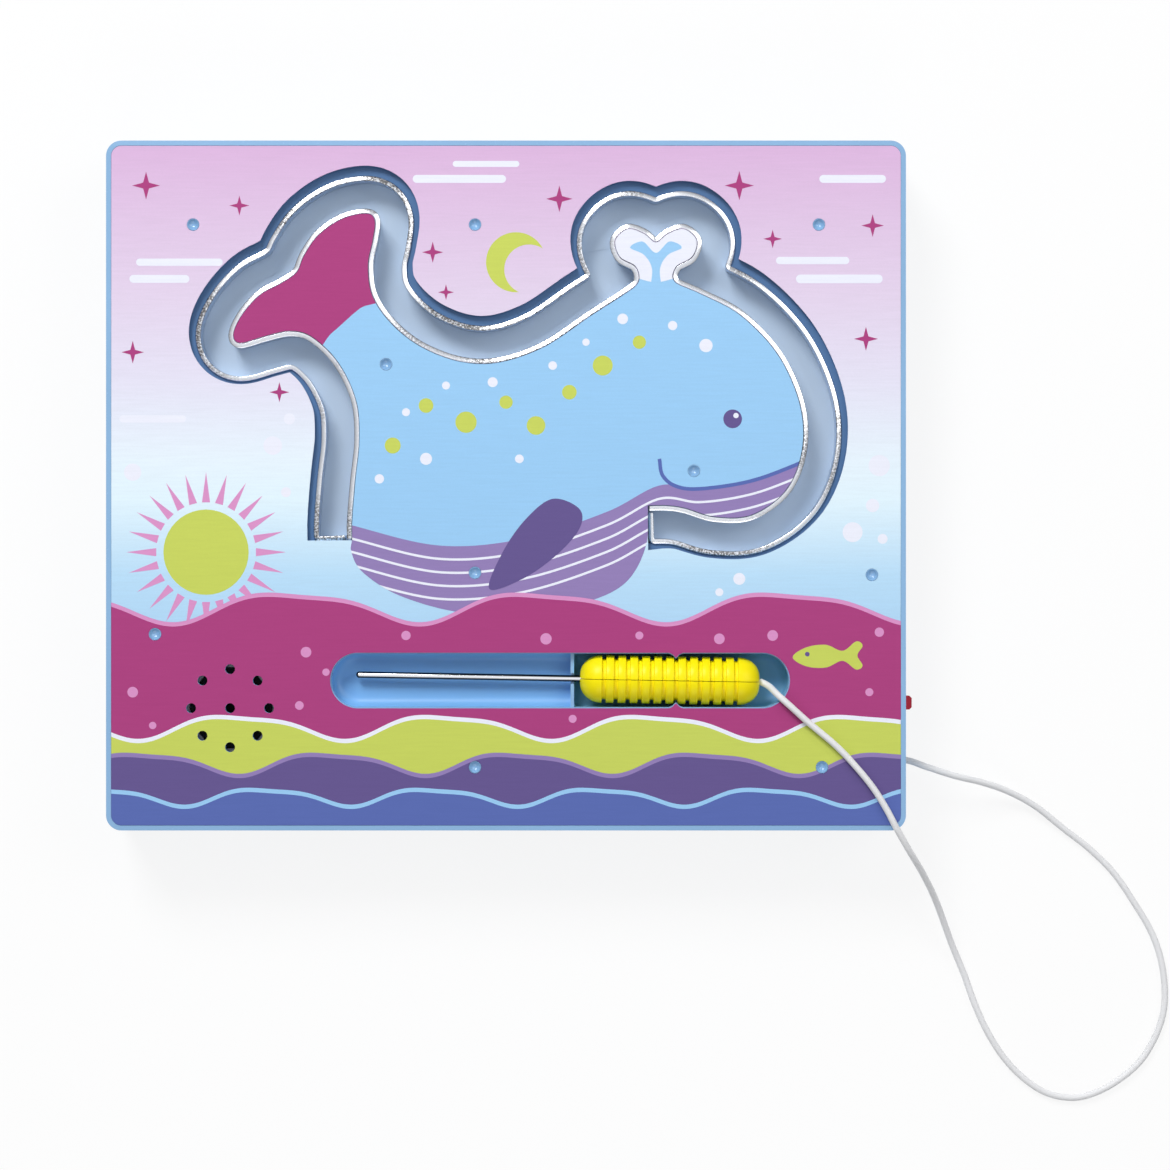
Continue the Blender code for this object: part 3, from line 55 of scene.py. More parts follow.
# Case
CASE_WIDTH = 0.240
CASE_HEIGHT = 0.207
CASE_CORNER_RADIUS = 0.0046
CASE_WALL = 0.0022
CASE_EDGE_ROUND = 0.0012
CASE_EDGE_ANGLE = 50
CORNER_STEPS = 16
FACE_Z = 0.0280
SHEET_TOP = 0.0279
SHEET_BOTTOM = 0.0274
PLATE_TOP = 0.0271
PLATE_BOTTOM = 0.0251
PLATE_MIDDLE = (PLATE_BOTTOM + PLATE_TOP) / 2
SEAM_Z = 0.0063
RIM_WIDTH = 0.0015
RIM_GAP = 0.00006

# Track
TRACK_WIDTH = 0.0113
TRACK_SKIRT = 0.0020
SKIRT_BOTTOM = 0.0190
STEP_WIDTH = 0.0018
STEP_DEPTH = 0.0022
STRIP_THICKNESS = 0.0010
INNER_LIP_PLACE = 0.00064
OUTER_LIP_PLACE = 0.01060
INNER_LIP_TOP = 0.0276
OUTER_LIP_TOP = 0.0268
LIP_SHAPE = (
    (0.50, -1.10), (0.66, -0.94), (0.86, -0.78), (0.95, -0.64), (0.96, -0.50), (0.90, -0.40), (0.78, -0.32),
    (-0.22, -0.03), (-0.36, 0.0), (-0.49, -0.05), (-0.58, -0.18), (-0.60, -0.34), (-0.56, -0.60),
    (-0.50, -0.90),
)
LIP_OVERHANG = 0.00160
LIP_GRAIN_FROM = 0.0254
LIP_GRAIN_TO = 0.0257
PRINT_LIFT = 0.0010
PATH_SPACING = 0.0005
PATH_TOLERANCE = 0.00003
TRIM_TOLERANCE = 0.00001
FAN_ANGLE = math.radians(4)
FLOOR_TOP = 0.0187
FLOOR_THICKNESS = 0.0005
FLOOR_OVERLAP = 0.0014
FLOOR_SEAM = 0.62
FLOOR_SEAM_WIDTH = 0.00022
FLOOR_SEAM_DEPTH = 0.00012
TRACK_EDGE = (
    (-46.2, -16.4), (-46.2, -10.4), (-45.2, 2.0), (-44.0, 13.6), (-45.0, 25.6), (-50.4, 37.0), (-58.2, 44.6),
    (-64.8, 46.4), (-72.4, 44.8), (-79.8, 42.8), (-81.8, 45.4), (-79.2, 51.2), (-73.8, 57.2), (-67.6, 60.6),
    (-62.8, 64.0), (-60.6, 69.0), (-56.2, 75.2), (-49.2, 80.0), (-42.0, 81.6), (-39.4, 79.6), (-40.0, 73.6),
    (-41.4, 66.2), (-40.2, 57.2), (-34.8, 49.0), (-25.8, 41.8), (-13.8, 37.2), (-1.8, 37.0), (11.8, 41.8),
    (25.2, 50.8), (34.2, 56.6), (39.6, 60.8), (39.0, 65.6), (34.2, 68.6), (32.8, 73.6), (36.6, 77.0),
    (41.4, 75.6), (45.0, 73.0), (48.6, 75.6), (53.4, 77.0), (57.2, 73.6), (55.8, 68.6), (51.0, 65.6),
    (50.6, 61.2), (58.2, 57.6), (70.2, 51.2), (81.6, 39.2), (88.2, 24.2), (88.8, 10.6), (84.0, -1.4),
    (73.8, -8.8), (62.8, -9.4), (53.8, -6.8), (48.6, -6.0), (42.6, -6.0),
)

# Tray and stylus
TRAY_X = 0.0162
TRAY_Y = -0.0585
TRAY_LENGTH = 0.1374
TRAY_WIDTH = 0.0161
TRAY_WALL = 0.0016
TRAY_STRAIGHT = (TRAY_LENGTH - TRAY_WIDTH) / 2
TRAY_END_STEPS = 40
TRAY_FILLET = 0.0030
POCKET_FILLET = 0.0026
FILLET_STEPS = 8
ROD_POCKET_Z = 0.0202
HANDLE_POCKET_Z = 0.0160
DIVIDER_X = 0.0199
DIVIDER_THICKNESS = 0.0011
ROD_SLOT_HALF = 0.0016
TAB_BASE = 0.0044
TAB_REACH = 0.00145
TAB_SIDE = ((1.0, 0.0), (0.72, 0.13), (0.45, 0.35), (0.20, 0.74), (0.09, 0.94))
TRAY_REVEAL = 0.0003
STYLUS_X = 0.0492
AXIS_Z = 0.0234
STYLUS_TILT = math.radians(-1.0)
HANDLE_LENGTH = 0.054
HANDLE_RADIUS = 0.0071
HANDLE_DOME = 0.0064
ROD_END_RADIUS = 0.0012
CORD_END_RADIUS = 0.0016
HANDLE_STEPS = 48
DOME_STEPS = 14
PARTING_GAP = 0.00018
GROOVE_COUNT = 12
GROOVE_PITCH = 0.0036
GROOVE_SHAPE = (
    (0.74, 0.0), (0.69, 0.03), (0.65, 0.10), (0.62, 0.50), (0.58, 0.96), (0.49, 1.07), (0.32, 1.10),
)
ROD_RADIUS = 0.0010
ROD_REACH = 0.0675
ROD_INSERT = 0.0120
ROD_STEPS = 32
ROD_TIP_ANGLE = 0.1
ROD_TIP_STEPS = 8

# Cord
CORD_RADIUS = 0.0010
CORD_EXIT_Y = -0.0830
CORD_EXIT_Z = 0.0130
CORD_SPACING = 0.0012
CORD_SIDES = 20
CORD_ROUTE = (
    (76.6, -59.0, 23.4), (79.0, -60.3, 25.3), (81.4, -62.7, 28.6), (84.6, -65.6, 29.9), (90.6, -71.0, 29.4),
    (98.0, -77.2, 29.25), (103.2, -82.4, 29.25), (109.5, -89.9, 29.25), (113.8, -96.6, 29.3),
    (117.2, -103.0, 29.15), (121.6, -110.4, 25.9), (126.2, -117.6, 18.7), (131.0, -126.6, 10.1),
    (136.2, -139.6, 3.3), (140.4, -149.6, 1.15), (143.4, -158.0, 1.05), (147.2, -166.6, 1.05),
    (152.4, -175.0, 1.05), (158.6, -181.6, 1.05), (165.6, -186.2, 1.05), (173.0, -187.8, 1.05),
    (179.4, -186.8, 1.05), (186.8, -183.2, 1.05), (194.0, -177.4, 1.05), (198.6, -170.6, 1.05),
    (201.7, -162.4, 1.05), (202.3, -154.0, 1.05), (201.0, -144.8, 1.05), (198.0, -136.4, 1.05),
    (192.8, -127.6, 1.05), (186.6, -118.6, 1.05), (179.2, -111.2, 1.05), (171.0, -104.8, 1.35),
    (162.4, -98.0, 2.4), (154.0, -93.4, 4.4), (145.4, -90.3, 7.5), (136.6, -88.1, 10.6),
    (128.2, -85.4, 12.6), (120.4, -83.0, 13.0), (108.4, -83.0, 13.0),
)

# Face
FIXING_PLACES = (
    (-93.9, 78.3), (-9.3, 78.3), (93.9, 78.3), (-105.3, -44.6), (109.8, -26.8), (-9.3, -84.5), (94.8, -84.5),
    (-36.0, 36.4), (56.4, 4.4), (-9.3, -26.2),
)
PIT_RADIUS = 0.0019
PIT_DEPTH = 0.0010
PIT_RINGS = 10
PIT_EDGE = 0.00010
PIT_STEPS = 32
SPEAKER_X = -0.0828
SPEAKER_Y = -0.0668
SOUND_HOLE_RADIUS = 0.0015
SOUND_HOLE_RING = 0.0117
SOUND_HOLE_COUNT = 8
SOUND_HOLE_STEPS = 28
SWITCH_Y = -0.0656
SWITCH_Z = 0.0135
KNOB_WIDTH = 0.0042
KNOB_HEIGHT = 0.0028
KNOB_SIDE = 0.0004
SWITCH_TRAVEL = 0.0030

# Back
SCREW_RADIUS = 0.0013
SCREW_HEAD_RADIUS = 0.0028
SCREW_HEAD_HEIGHT = 0.0018
SCREW_HEAD_SINK = 0.0005
SCREW_LENGTH = 0.0110
SCREW_POINT = 0.0016
HEAD_SHAPE = ((0.0, 0.0), (0.62, 0.0), (0.80, 0.05), (0.92, 0.18), (0.98, 0.36), (1.0, 0.55), (1.0, 1.0))
SCREW_STEPS = 36
RECESS_WIDTH = 0.0008
RECESS_LENGTH = 0.0030
RECESS_DEPTH = 0.0010
DOOR_EDGE = 0.0004
KNOB_EDGE = 0.00035

# Finer shapes
EDGE_STEPS = 4
EDGE_ANGLE = 30
SHARP_ANGLE = 35
COVER_SHARP_ANGLE = 32
SCREW_SHARP_ANGLE = 40
RIB_SHARP_ANGLE = 50
POCKET_CORNER = 0.0012
LEAST_CORNER = 0.0003
UNDER_TABS = PLATE_BOTTOM + 0.0003
LIP_SPACING = 0.0003
LIP_BEND = 0.0009
PRINT_SETBACK = 0.0003
LIFT_RUN = 0.010
SIDE_ROOM = 0.00015

# Printed picture
INK_STEP = 0.00002
INK_SPACING = 0.0006
DOT_STEPS = 40
WAVE_STEPS = 260
FOAM_RISE = 0.0013
PLEAT_WIDTH = 0.0007
PLEAT_DROPS = (4.0, 8.0, 12.0, 16.0)
MOUTH_WIDTH = 0.0011
SUN = (-90.0, -20.0, 15.0, 24.0)
SUN_DISC = (-90.0, -20.0, 12.8)
RAY_COUNT = 24
RAY_WIDTH = 0.62
MOON = (3.0, 67.0, 9.0, -0.5)
MOON_INNER_PLACE = 0.5
MOON_INNER_SIZE = 0.83
BAR_STEPS = 10
SPARKLE_SHAPE = (1.0, 0.42, 0.30, 0.42)
SPARKLE_POINTS = 16
SEA_SIDE = 124.0
SEA_BOTTOM = -112.0
RIPPLE_SHARE = 0.28
RIPPLE_PHASE = 1.1
MIST = (
    (100.0, 62.0, 26.0, 2.6), (92.0, 67.5, 22.0, 2.2), (104.0, 92.0, 20.0, 2.4), (-104.0, 62.0, 18.0, 2.4),
    (-98.0, 67.0, 26.0, 2.2), (-14.0, 92.0, 28.0, 2.4), (-6.0, 96.5, 20.0, 1.8), (-106.0, 20.0, 20.0, 2.2),
)
SPARKLES = (
    (-108.0, 90.0, 4.2), (-80.0, 84.0, 3.0), (-22.0, 70.0, 3.2), (16.0, 86.0, 4.0), (70.0, 90.0, 4.4),
    (80.0, 74.0, 2.8), (110.0, 78.0, 3.4), (108.0, 44.0, 3.6), (-112.0, 40.0, 3.4), (-18.0, 58.0, 2.4),
    (-68.0, 28.0, 3.0),
)
BUBBLES = (
    (104.0, -14.0, 3.0), (110.0, -6.0, 2.0), (112.0, 6.0, 3.2), (113.0, -16.0, 1.5), (-70.0, 12.0, 2.8),
    (-65.0, 20.0, 1.7), (-112.0, 4.0, 2.6), (-66.0, -2.0, 1.5), (70.0, -28.0, 1.8), (64.0, -32.0, 1.2),
)
FISH = (
    (86.0, -51.5), (90.0, -48.6), (96.0, -47.8), (101.0, -49.6), (105.0, -46.8), (107.0, -48.0),
    (105.4, -51.0), (107.0, -54.0), (105.0, -55.2), (101.0, -52.6), (96.0, -54.6), (90.0, -54.2),
)
FISH_EYE = (90.4, -50.6, 0.7)
BELLY_CURVE = (
    (42.6, -6.0), (42.0, -18.0), (36.0, -29.0), (24.0, -35.0), (6.0, -38.5), (-14.0, -38.0), (-32.0, -33.0),
    (-43.0, -26.0), (-46.4, -20.0), (-46.2, -16.4),
)
FLUKES = (
    (-100.0, 30.0), (-62.0, 38.0), (-52.0, 46.0), (-44.0, 53.0), (-34.0, 60.0), (-28.0, 95.0), (-100.0, 95.0),
)
SPOUT = ((26.0, 60.0), (36.0, 62.6), (45.0, 61.0), (54.0, 62.6), (64.0, 60.0), (64.0, 85.0), (26.0, 85.0))
JAW_LINE = (
    (-60.0, -8.0), (-46.0, -12.0), (-20.0, -18.0), (5.0, -16.0), (30.0, -8.0), (46.0, 0.0), (58.0, -1.0),
    (72.0, 1.0), (84.0, 5.0), (100.0, 12.0),
)
MOUTH_LINE = ((46.0, 8.0), (47.0, 3.0), (51.0, -0.2), (58.0, -1.0), (72.0, 1.0), (84.0, 5.0), (100.0, 12.0))
BACK_DOTS = (
    (-24.0, 24.0, 2.2), (-12.0, 19.0, 3.2), (0.0, 25.0, 2.0), (9.0, 18.0, 2.8), (19.0, 28.0, 2.2),
    (29.0, 36.0, 3.0), (40.0, 43.0, 2.0), (-34.0, 12.0, 2.4),
)
BACK_SPOTS = (
    (-18.0, 30.0, 1.2), (-4.0, 31.0, 1.5), (14.0, 36.0, 1.3), (24.0, 43.0, 1.1), (35.0, 50.0, 1.6),
    (50.0, 48.0, 1.4), (60.0, 42.0, 2.0), (-30.0, 22.0, 1.2), (-38.0, 2.0, 1.4), (-24.0, 8.0, 1.8),
    (4.0, 8.0, 1.3),
)
JET = (
    (43.4, 58.0), (43.8, 65.0), (41.4, 69.2), (37.2, 71.4), (41.0, 73.2), (45.0, 69.8), (49.0, 73.2),
    (52.8, 71.4), (48.6, 69.2), (46.2, 65.0), (46.6, 58.0),
)
GLINT = (69.0, 21.0, 0.8)
EYE = (68.0, 20.0, 2.8)
FIN = (
    (22.0, -7.0), (14.0, -4.0), (6.0, -10.0), (-1.0, -20.0), (-5.0, -31.0), (5.0, -28.0), (15.0, -21.0),
    (22.0, -13.0),
)
WAVES = (
    (-37.0, 4.2, 74.0, 0.12), (-73.0, 3.4, 62.0, 0.55), (-84.0, 3.0, 56.0, 0.20), (-94.0, 2.4, 50.0, 0.70),
)
SEA_DOTS = (
    (-60.0, -50.0, 1.6), (-54.0, -56.0, 1.1), (-112.0, -62.0, 1.6), (-62.0, -66.0, 1.3), (80.0, -45.0, 1.6),
    (109.0, -62.0, 1.2), (112.0, -44.0, 1.4), (-30.0, -45.0, 1.4), (12.0, -46.0, 1.7), (40.0, -45.0, 1.2),
    (64.0, -46.0, 1.6), (-106.0, -72.0, 1.1), (20.0, -70.0, 1.2), (-20.0, -71.0, 1.4),
)

# Finishes
EVEN = (1.0, 1.0, 1.0)
ALONG_ROD = (0.05, 1.0, 1.0)
ALONG_FILM = (0.06, 1.0, 1.0)
ACROSS_METAL = (1.0, 1.0, 0.6)
WHITE = (1.0, 1.0, 1.0, 1.0)
NOISE_SPAN = (0.3, 0.7)
BROAD_NOISE = (26.0, 3.0)
FINE_NOISE = (1760.0, 5.0)
FINE_RELIEF = (0.5, 2e-5)
GLOSS_SPREAD = 0.06
STREAK_NOISE = (1500.0, 4.0)
STREAK_AMOUNT = 0.02
FILM_NOISE = (2600.0, 3.0)
FILM_AMOUNT = 0.012
FILM_RELIEF = (0.35, 1e-5)
FILM_ROUGHNESS = (0.40, 0.52)
FILM_SHEEN = 0.16
MARK_NOISE = (2400.0, 3.0)
MARK_AMOUNT = 0.05
MARK_RELIEF = (0.1, 1e-5)
MARK_GLOSS = (0.7, 1.4)
# Painted reflection on the rod: where its colour turns to the dark shoulder tone and back, along the normal's
# upward part
ROD_PAINTED_REFLECTION_BANDS = (0.05, 0.35, 0.90, 0.955)
GRAIN_NOISE = (1700.0, 4.0)
GRAIN_SPAN = (0.42, 0.60)
GRAIN_RELIEF = (0.5, 6e-5)
PATCH_NOISE = (30.0, 1.0)
PATCH_SPAN = (0.50, 0.60)
PATCH_SHARE = (0.06, 0.85)
WALL_ROUGHNESS = 0.42
LIP_GLOSS = 1.2
METAL_GRAIN_NOISE = (5200.0, 3.0)
METAL_GLOSS = (0.6, 1.5)
METAL_GRAIN_DEPTH = 6e-5
METAL_TONE_NOISE = (60.0, 3.0)
METAL_AMOUNT = 0.06
PLAIN_FINISHES = {
    "blue_plastic": ((134, 177, 217), 0.22, {"amount": 0.03, "sheen": 0.8}),
    # Painted light: blue_plastic_tray and blue_plastic_pocket are copies of the blue plastic in other tones,
    # set for how light falls in the tray and in the handle's deep pocket
    "blue_plastic_tray": ((121, 176, 226), 0.36, {"amount": 0.03}),
    # Painted shade: blue_plastic_track is a darker copy of the blue plastic, put on the track's walls and
    # ledge where they lie in shade
    "blue_plastic_track": ((76, 114, 160), 0.42, {"amount": 0.06}),
    "blue_plastic_pocket": ((130, 188, 230), 0.45, {"amount": 0.06}),
    "yellow_plastic": ((254, 236, 6), 0.38, {"amount": 0.03, "sheen": 0.22}),
    "red_plastic": ((205, 10, 48), 0.36, {}),
    "white_cord": ((229, 229, 230), 0.50, {"amount": 0.03}),
    "track_metal": ((182, 200, 220), 0.40, {"amount": 0.04, "metallic": 0.25}),
    "black_paper": ((24, 24, 25), 0.85, {"amount": 0.12}),
    "black_plastic": ((30, 30, 31), 0.45, {"amount": 0.08}),
    "board_green": ((36, 104, 52), 0.42, {"amount": 0.10}),
    "cell_wrap": ((64, 66, 72), 0.32, {"amount": 0.06}),
    "red_wire": ((180, 28, 28), 0.48, {"amount": 0.06}),
    "black_wire": ((28, 28, 28), 0.48, {"amount": 0.06}),
}
SKY_STOPS = (
    (0.02, (140, 195, 238)), (0.25, (170, 210, 242)), (0.37, (186, 222, 247)), (0.48, (226, 244, 253)),
    (0.54, (231, 243, 252)), (0.65, (229, 226, 243)), (0.77, (227, 211, 234)), (1.0, (219, 180, 219)),
)
INKS = {
    "magenta": (174, 66, 128), "lime": (203, 215, 98), "purple": (103, 88, 145), "lilac": (150, 130, 185),
    "rose": (222, 150, 202), "light_blue": (158, 207, 246), "deep_blue": (92, 110, 180),
}
PALE_INK = (238, 240, 252)
INK_DEEPENS = 0.94
PALE_DEEPENS = 0.98

# View and light
CAMERA_PLACE = (0.0237, -0.02985, 1.028)
CAMERA_LENS = 102.56
CAMERA_SENSOR = 36.0
FLOOR_SIZE = 6.0
FLOOR_Z = -0.0001
FLOOR_GLOW = 0.86
TABLE_COLOUR = (0.92, 0.92, 0.92, 1.0)
WORLD_COLOUR = (0.94, 0.96, 1.0, 1.0)
WORLD_LEVEL = 0.26
MIRROR_LOW = 0.18
MIRROR_HIGH = 1.0
MIRROR_FROM = 0.45
MIRROR_TO = 0.92
LAMPS = (
    ((-0.70, 1.46, 1.50), 0.8, 0.8, 38.0),
    ((1.10, 0.60, 1.20), 1.0, 1.0, 7.0),
    ((0.10, -1.30, 0.90), 1.2, 0.6, 4.5),
)


def tone(red, green, blue):
    """A linear colour from the usual eight-bit steps."""
    linear = []
    for step in (red, green, blue):
        share = step / 255
        linear.append(share / 12.92 if share < 0.04045 else ((share + 0.055) / 1.055) ** 2.4)
    return (*linear, 1.0)


def tuples(points):
    """Points as plain tuples."""
    return [tuple(point) for point in points]


def mm(points):
    """Points in millimetres, as metres."""
    return [tuple(value * MM for value in point) for point in points]


def arc(centre, radius, start, end, steps):
    """Points along a circular arc, ends included."""
    angles = np.linspace(start, end, steps + 1)
    return [(centre[0] + radius * math.cos(a), centre[1] + radius * math.sin(a)) for a in angles]


def circle(x, y, radius, sides):
    """A round loop."""
    return arc((x, y), radius, 0.0, 2 * math.pi * (1 - 1 / sides), sides - 1)


def rounded_rectangle(width, height, radius):
    """A rectangle about the origin with round corners."""
    across = width / 2 - radius
    up = height / 2 - radius
    loop = []
    for turn, (x, y) in enumerate(((across, up), (-across, up), (-across, -up), (across, -up))):
        start = turn * math.pi / 2
        loop += arc((x, y), radius, start, start + math.pi / 2, CORNER_STEPS)
    return loop


def rectangle(x_low, x_high, y_low, y_high):
    """A plain rectangle."""
    return [(x_low, y_low), (x_high, y_low), (x_high, y_high), (x_low, y_high)]


def case_outline(inset):
    """The case's loop, drawn in by a margin."""
    return rounded_rectangle(CASE_WIDTH - 2 * inset, CASE_HEIGHT - 2 * inset, CASE_CORNER_RADIUS - inset)


def smooth_run(points, spacing, closed=False):
    """Evenly spaced points on a smooth curve through a run of points, or round a loop of them."""
    knots = np.array(points, dtype=float)
    if closed:
        knots = np.vstack((knots[-1], knots, knots[0], knots[1]))
    else:
        knots = np.vstack((2 * knots[0] - knots[1], knots, 2 * knots[-1] - knots[-2]))
    fine = [knots[1]]
    for i in range(1, len(knots) - 2):
        before, start, end, after = knots[i - 1:i + 3]
        count = max(8, int(np.linalg.norm(end - start) / spacing * 4))
        for t in np.linspace(0.0, 1.0, count + 1)[1:]:
            fine.append(0.5 * (
                2 * start + (end - before) * t
                + (2 * before - 5 * start + 4 * end - after) * t ** 2
                + (3 * start - before - 3 * end + after) * t ** 3
            ))
    run = evenly_spaced(np.array(fine), spacing)
    return run[:-1] if closed else run


def travel_along(run):
    """The distance travelled at each point of a run."""
    return np.concatenate(([0.0], np.cumsum(np.linalg.norm(np.diff(run, axis=0), axis=1))))


def headings(run):
    """The direction at each point of a run."""
    ahead = np.gradient(run, axis=0)
    return ahead / np.linalg.norm(ahead, axis=1)[:, None]


def evenly_spaced(run, spacing):
    """A run of points, spaced again at even steps."""
    travel = travel_along(run)
    stations = np.linspace(0.0, travel[-1], max(2, round(travel[-1] / spacing) + 1))
    return np.stack([np.interp(stations, travel, run[:, axis]) for axis in range(run.shape[1])], axis=1)


def distance_to_path(points, path):
    """Distance of each point to the nearest place on a path."""
    start = path[:-1]
    along = path[1:] - start
    square = np.sum(along ** 2, axis=1)
    offset = points[:, None, :] - start[None, :, :]
    share = np.clip(np.sum(offset * along, axis=2) / square, 0.0, 1.0)
    return np.min(np.linalg.norm(offset - share[:, :, None] * along, axis=2), axis=1)


def crossing(a, b, c, d):
    """Where the line from a to b meets the line from c to d."""
    first = b - a
    second = d - c
    cross = first[0] * second[1] - first[1] * second[0]
    if abs(cross) < 1e-12:
        return (a + d) / 2
    share = ((c - a)[0] * second[1] - (c - a)[1] * second[0]) / cross
    return a + first * share


def simplified(points, tolerance):
    """The points that a run needs to stay within a tolerance of itself."""
    wanted = {0, len(points) - 1}
    stack = [(0, len(points) - 1)]
    while stack:
        low, high = stack.pop()
        if high - low < 2:
            continue
        away = distance_to_path(points[low + 1:high], points[[low, high]])
        if away.max() > tolerance:
            middle = low + 1 + int(away.argmax())
            wanted.add(middle)
            stack += [(low, middle), (middle, high)]
    return points[sorted(wanted)]


def offset_path(path, distance, tolerance=PATH_TOLERANCE):
    """A run at a distance on the left of a path, trimmed where it would come closer than that to it."""
    if abs(distance) < WELD:
        return simplified(path, tolerance)
    heading = np.diff(path, axis=0)
    angles = np.unwrap(np.arctan2(heading[:, 1], heading[:, 0]))
    angles = np.concatenate((angles[:1], angles, angles[-1:]))
    raw = []
    for place, before, after in zip(path, angles[:-1], angles[1:]):
        turn = (before - after) * math.copysign(1.0, distance)
        fan = [(before + after) / 2]
        if turn > FAN_ANGLE:
            fan = np.linspace(before, after, 2 + int(turn / FAN_ANGLE))
        raw += [place + distance * np.array((-math.sin(angle), math.cos(angle))) for angle in fan]
    raw = np.array(raw)
    clear = np.flatnonzero(distance_to_path(raw, path) > abs(distance) - TRIM_TOLERANCE)
    run = [raw[clear[0]]]
    for last, place in zip(clear[:-1], clear[1:]):
        if place - last > 1:
            run.append(crossing(raw[last], raw[last + 1], raw[place - 1], raw[place]))
        run.append(raw[place])
    return simplified(np.array(run), tolerance)


def lengthened(path, amount):
    """A path with its ends drawn out by a length, or drawn in where it is below zero."""
    travel = travel_along(path)
    first = (path[0] - path[1]) / np.linalg.norm(path[0] - path[1])
    last = (path[-1] - path[-2]) / np.linalg.norm(path[-1] - path[-2])
    inside = path[(travel > -amount + WELD) & (travel < travel[-1] + amount - WELD)]
    return np.vstack((path[0] + first * amount, inside, path[-1] + last * amount))


def track_band(near, far, amount):
    """The loop between two distances from the track's inner edge."""
    path = lengthened(EDGE_PATH, amount)
    return band_loop(offset_path(path, far), offset_path(path, near))


def lifted_band(near, amount):
    """The loop from a distance to the ledge's far side, which is moved up the face except near its ends."""
    path = lengthened(EDGE_PATH, amount)
    outer = offset_path(path, TRACK_WIDTH + STEP_WIDTH + PRINT_SETBACK)
    travel = travel_along(outer)
    share = np.clip(np.minimum(travel, travel[-1] - travel) / LIFT_RUN, 0.0, 1.0)
    lift = np.stack((0.0 * share, PRINT_LIFT * share), axis=1)
    return band_loop(outer + lift, offset_path(path, near))


def band_loop(outer, inner):
    """One loop from the two sides of a band."""
    return tuples(np.vstack((outer, inner[::-1])))


def tray_outline(grow, tabs):
    """The tray's loop with round ends, grown by a margin, with or without the two snap tabs."""
    radius = TRAY_WIDTH / 2 + grow
    right = arc((TRAY_X + TRAY_STRAIGHT, TRAY_Y), radius, -math.pi / 2, math.pi / 2, TRAY_END_STEPS)
    left = arc((TRAY_X - TRAY_STRAIGHT, TRAY_Y), radius, math.pi / 2, 3 * math.pi / 2, TRAY_END_STEPS)
    if not tabs:
        return right + left
    tab_x = STYLUS_X + GROOVE_PITCH / 2
    far_side = [(-across, reach) for across, reach in reversed(TAB_SIDE)]
    upper = [
        (tab_x + across * TAB_BASE / 2, TRAY_Y + radius - reach * TAB_REACH)
        for across, reach in (*TAB_SIDE, (0.0, 1.0), *far_side)
    ]
    lower = [(x, 2 * TRAY_Y - y) for x, y in reversed(upper)]
    return right + upper + left + lower


def sound_hole_places():
    """Centres of the middle sound hole and the ring round it."""
    return [(SPEAKER_X, SPEAKER_Y), *circle(SPEAKER_X, SPEAKER_Y, SOUND_HOLE_RING, SOUND_HOLE_COUNT)]


def add(mesh, name):
    """An object for a mesh, in the scene."""
    item = bpy.data.objects.new(name, mesh)
    bpy.context.scene.collection.objects.link(item)
    return item


def tidy(mesh):
    """Weld a mesh and turn its faces outward."""
    shape = bmesh.new()
    shape.from_mesh(mesh)
    bmesh.ops.remove_doubles(shape, verts=shape.verts, dist=WELD)
    bmesh.ops.recalc_face_normals(shape, faces=shape.faces)
    shape.to_mesh(mesh)
    shape.free()


def prism(loops, low, high, name="solid"):
    """A flat outline, with any holes in it, between two heights."""
    curve = bpy.data.curves.new("outline", "CURVE")
    curve.dimensions = "2D"
    curve.fill_mode = "BOTH"
    curve.extrude = (high - low) / 2
    for loop in loops:
        spline = curve.splines.new("POLY")
        spline.points.add(len(loop) - 1)
        for point, (x, y) in zip(spline.points, loop):
            point.co = (x, y, 0.0, 1.0)
        spline.use_cyclic_u = True
    outline = bpy.data.objects.new("outline", curve)
    bpy.context.scene.collection.objects.link(outline)
    bpy.context.view_layer.update()
    mesh = bpy.data.meshes.new_from_object(outline.evaluated_get(bpy.context.evaluated_depsgraph_get()))
    bpy.data.objects.remove(outline, do_unlink=True)
    mesh.transform(Matrix.Translation((0.0, 0.0, (low + high) / 2)))
    tidy(mesh)
    return add(mesh, name)


def loft(loops, name="loft", matrix=None):
    """A closed solid through loops of equal length."""
    count = len(loops[0])
    points = [point for loop in loops for point in loop]
    faces = [tuple(range(count)), tuple(range((len(loops) - 1) * count, len(loops) * count))]
    for low in range(0, (len(loops) - 1) * count, count):
        high = low + count
        for n in range(count):
            after = (n + 1) % count
            faces.append((low + n, low + after, high + after, high + n))
    mesh = bpy.data.meshes.new(name)
    mesh.from_pydata(points, [], faces)
    if matrix:
        mesh.transform(matrix)
    tidy(mesh)
    return add(mesh, name)


def turned(profile, steps, name="turned", matrix=None):
    """A turned solid about Z, from a profile of radius and height."""
    loops = []
    for radius, z in profile:
        wide = max(radius, WELD * 2)
        loops.append([(x, y, z) for x, y in circle(0.0, 0.0, wide, steps)])
    return loft(loops, name, matrix)


def combine(target, operation, tools):
    """Join, cut or meet an object with others, which it uses up."""
    group = bpy.data.collections.new("tools")
    for item in tools:
        group.objects.link(item)
    modifier = target.modifiers.new("Combine", "BOOLEAN")
    modifier.operation = operation
    modifier.solver = "EXACT"
    modifier.operand_type = "COLLECTION"
    modifier.collection = group
    fixed(target)
    for item in tools:
        bpy.data.objects.remove(item, do_unlink=True)
    bpy.data.collections.remove(group)
    return target


def fixed(item):
    """An object's mesh with its modifiers made final."""
    bpy.context.view_layer.update()
    evaluated = item.evaluated_get(bpy.context.evaluated_depsgraph_get())
    mesh = bpy.data.meshes.new_from_object(evaluated)
    item.modifiers.clear()
    item.data = mesh
    return item


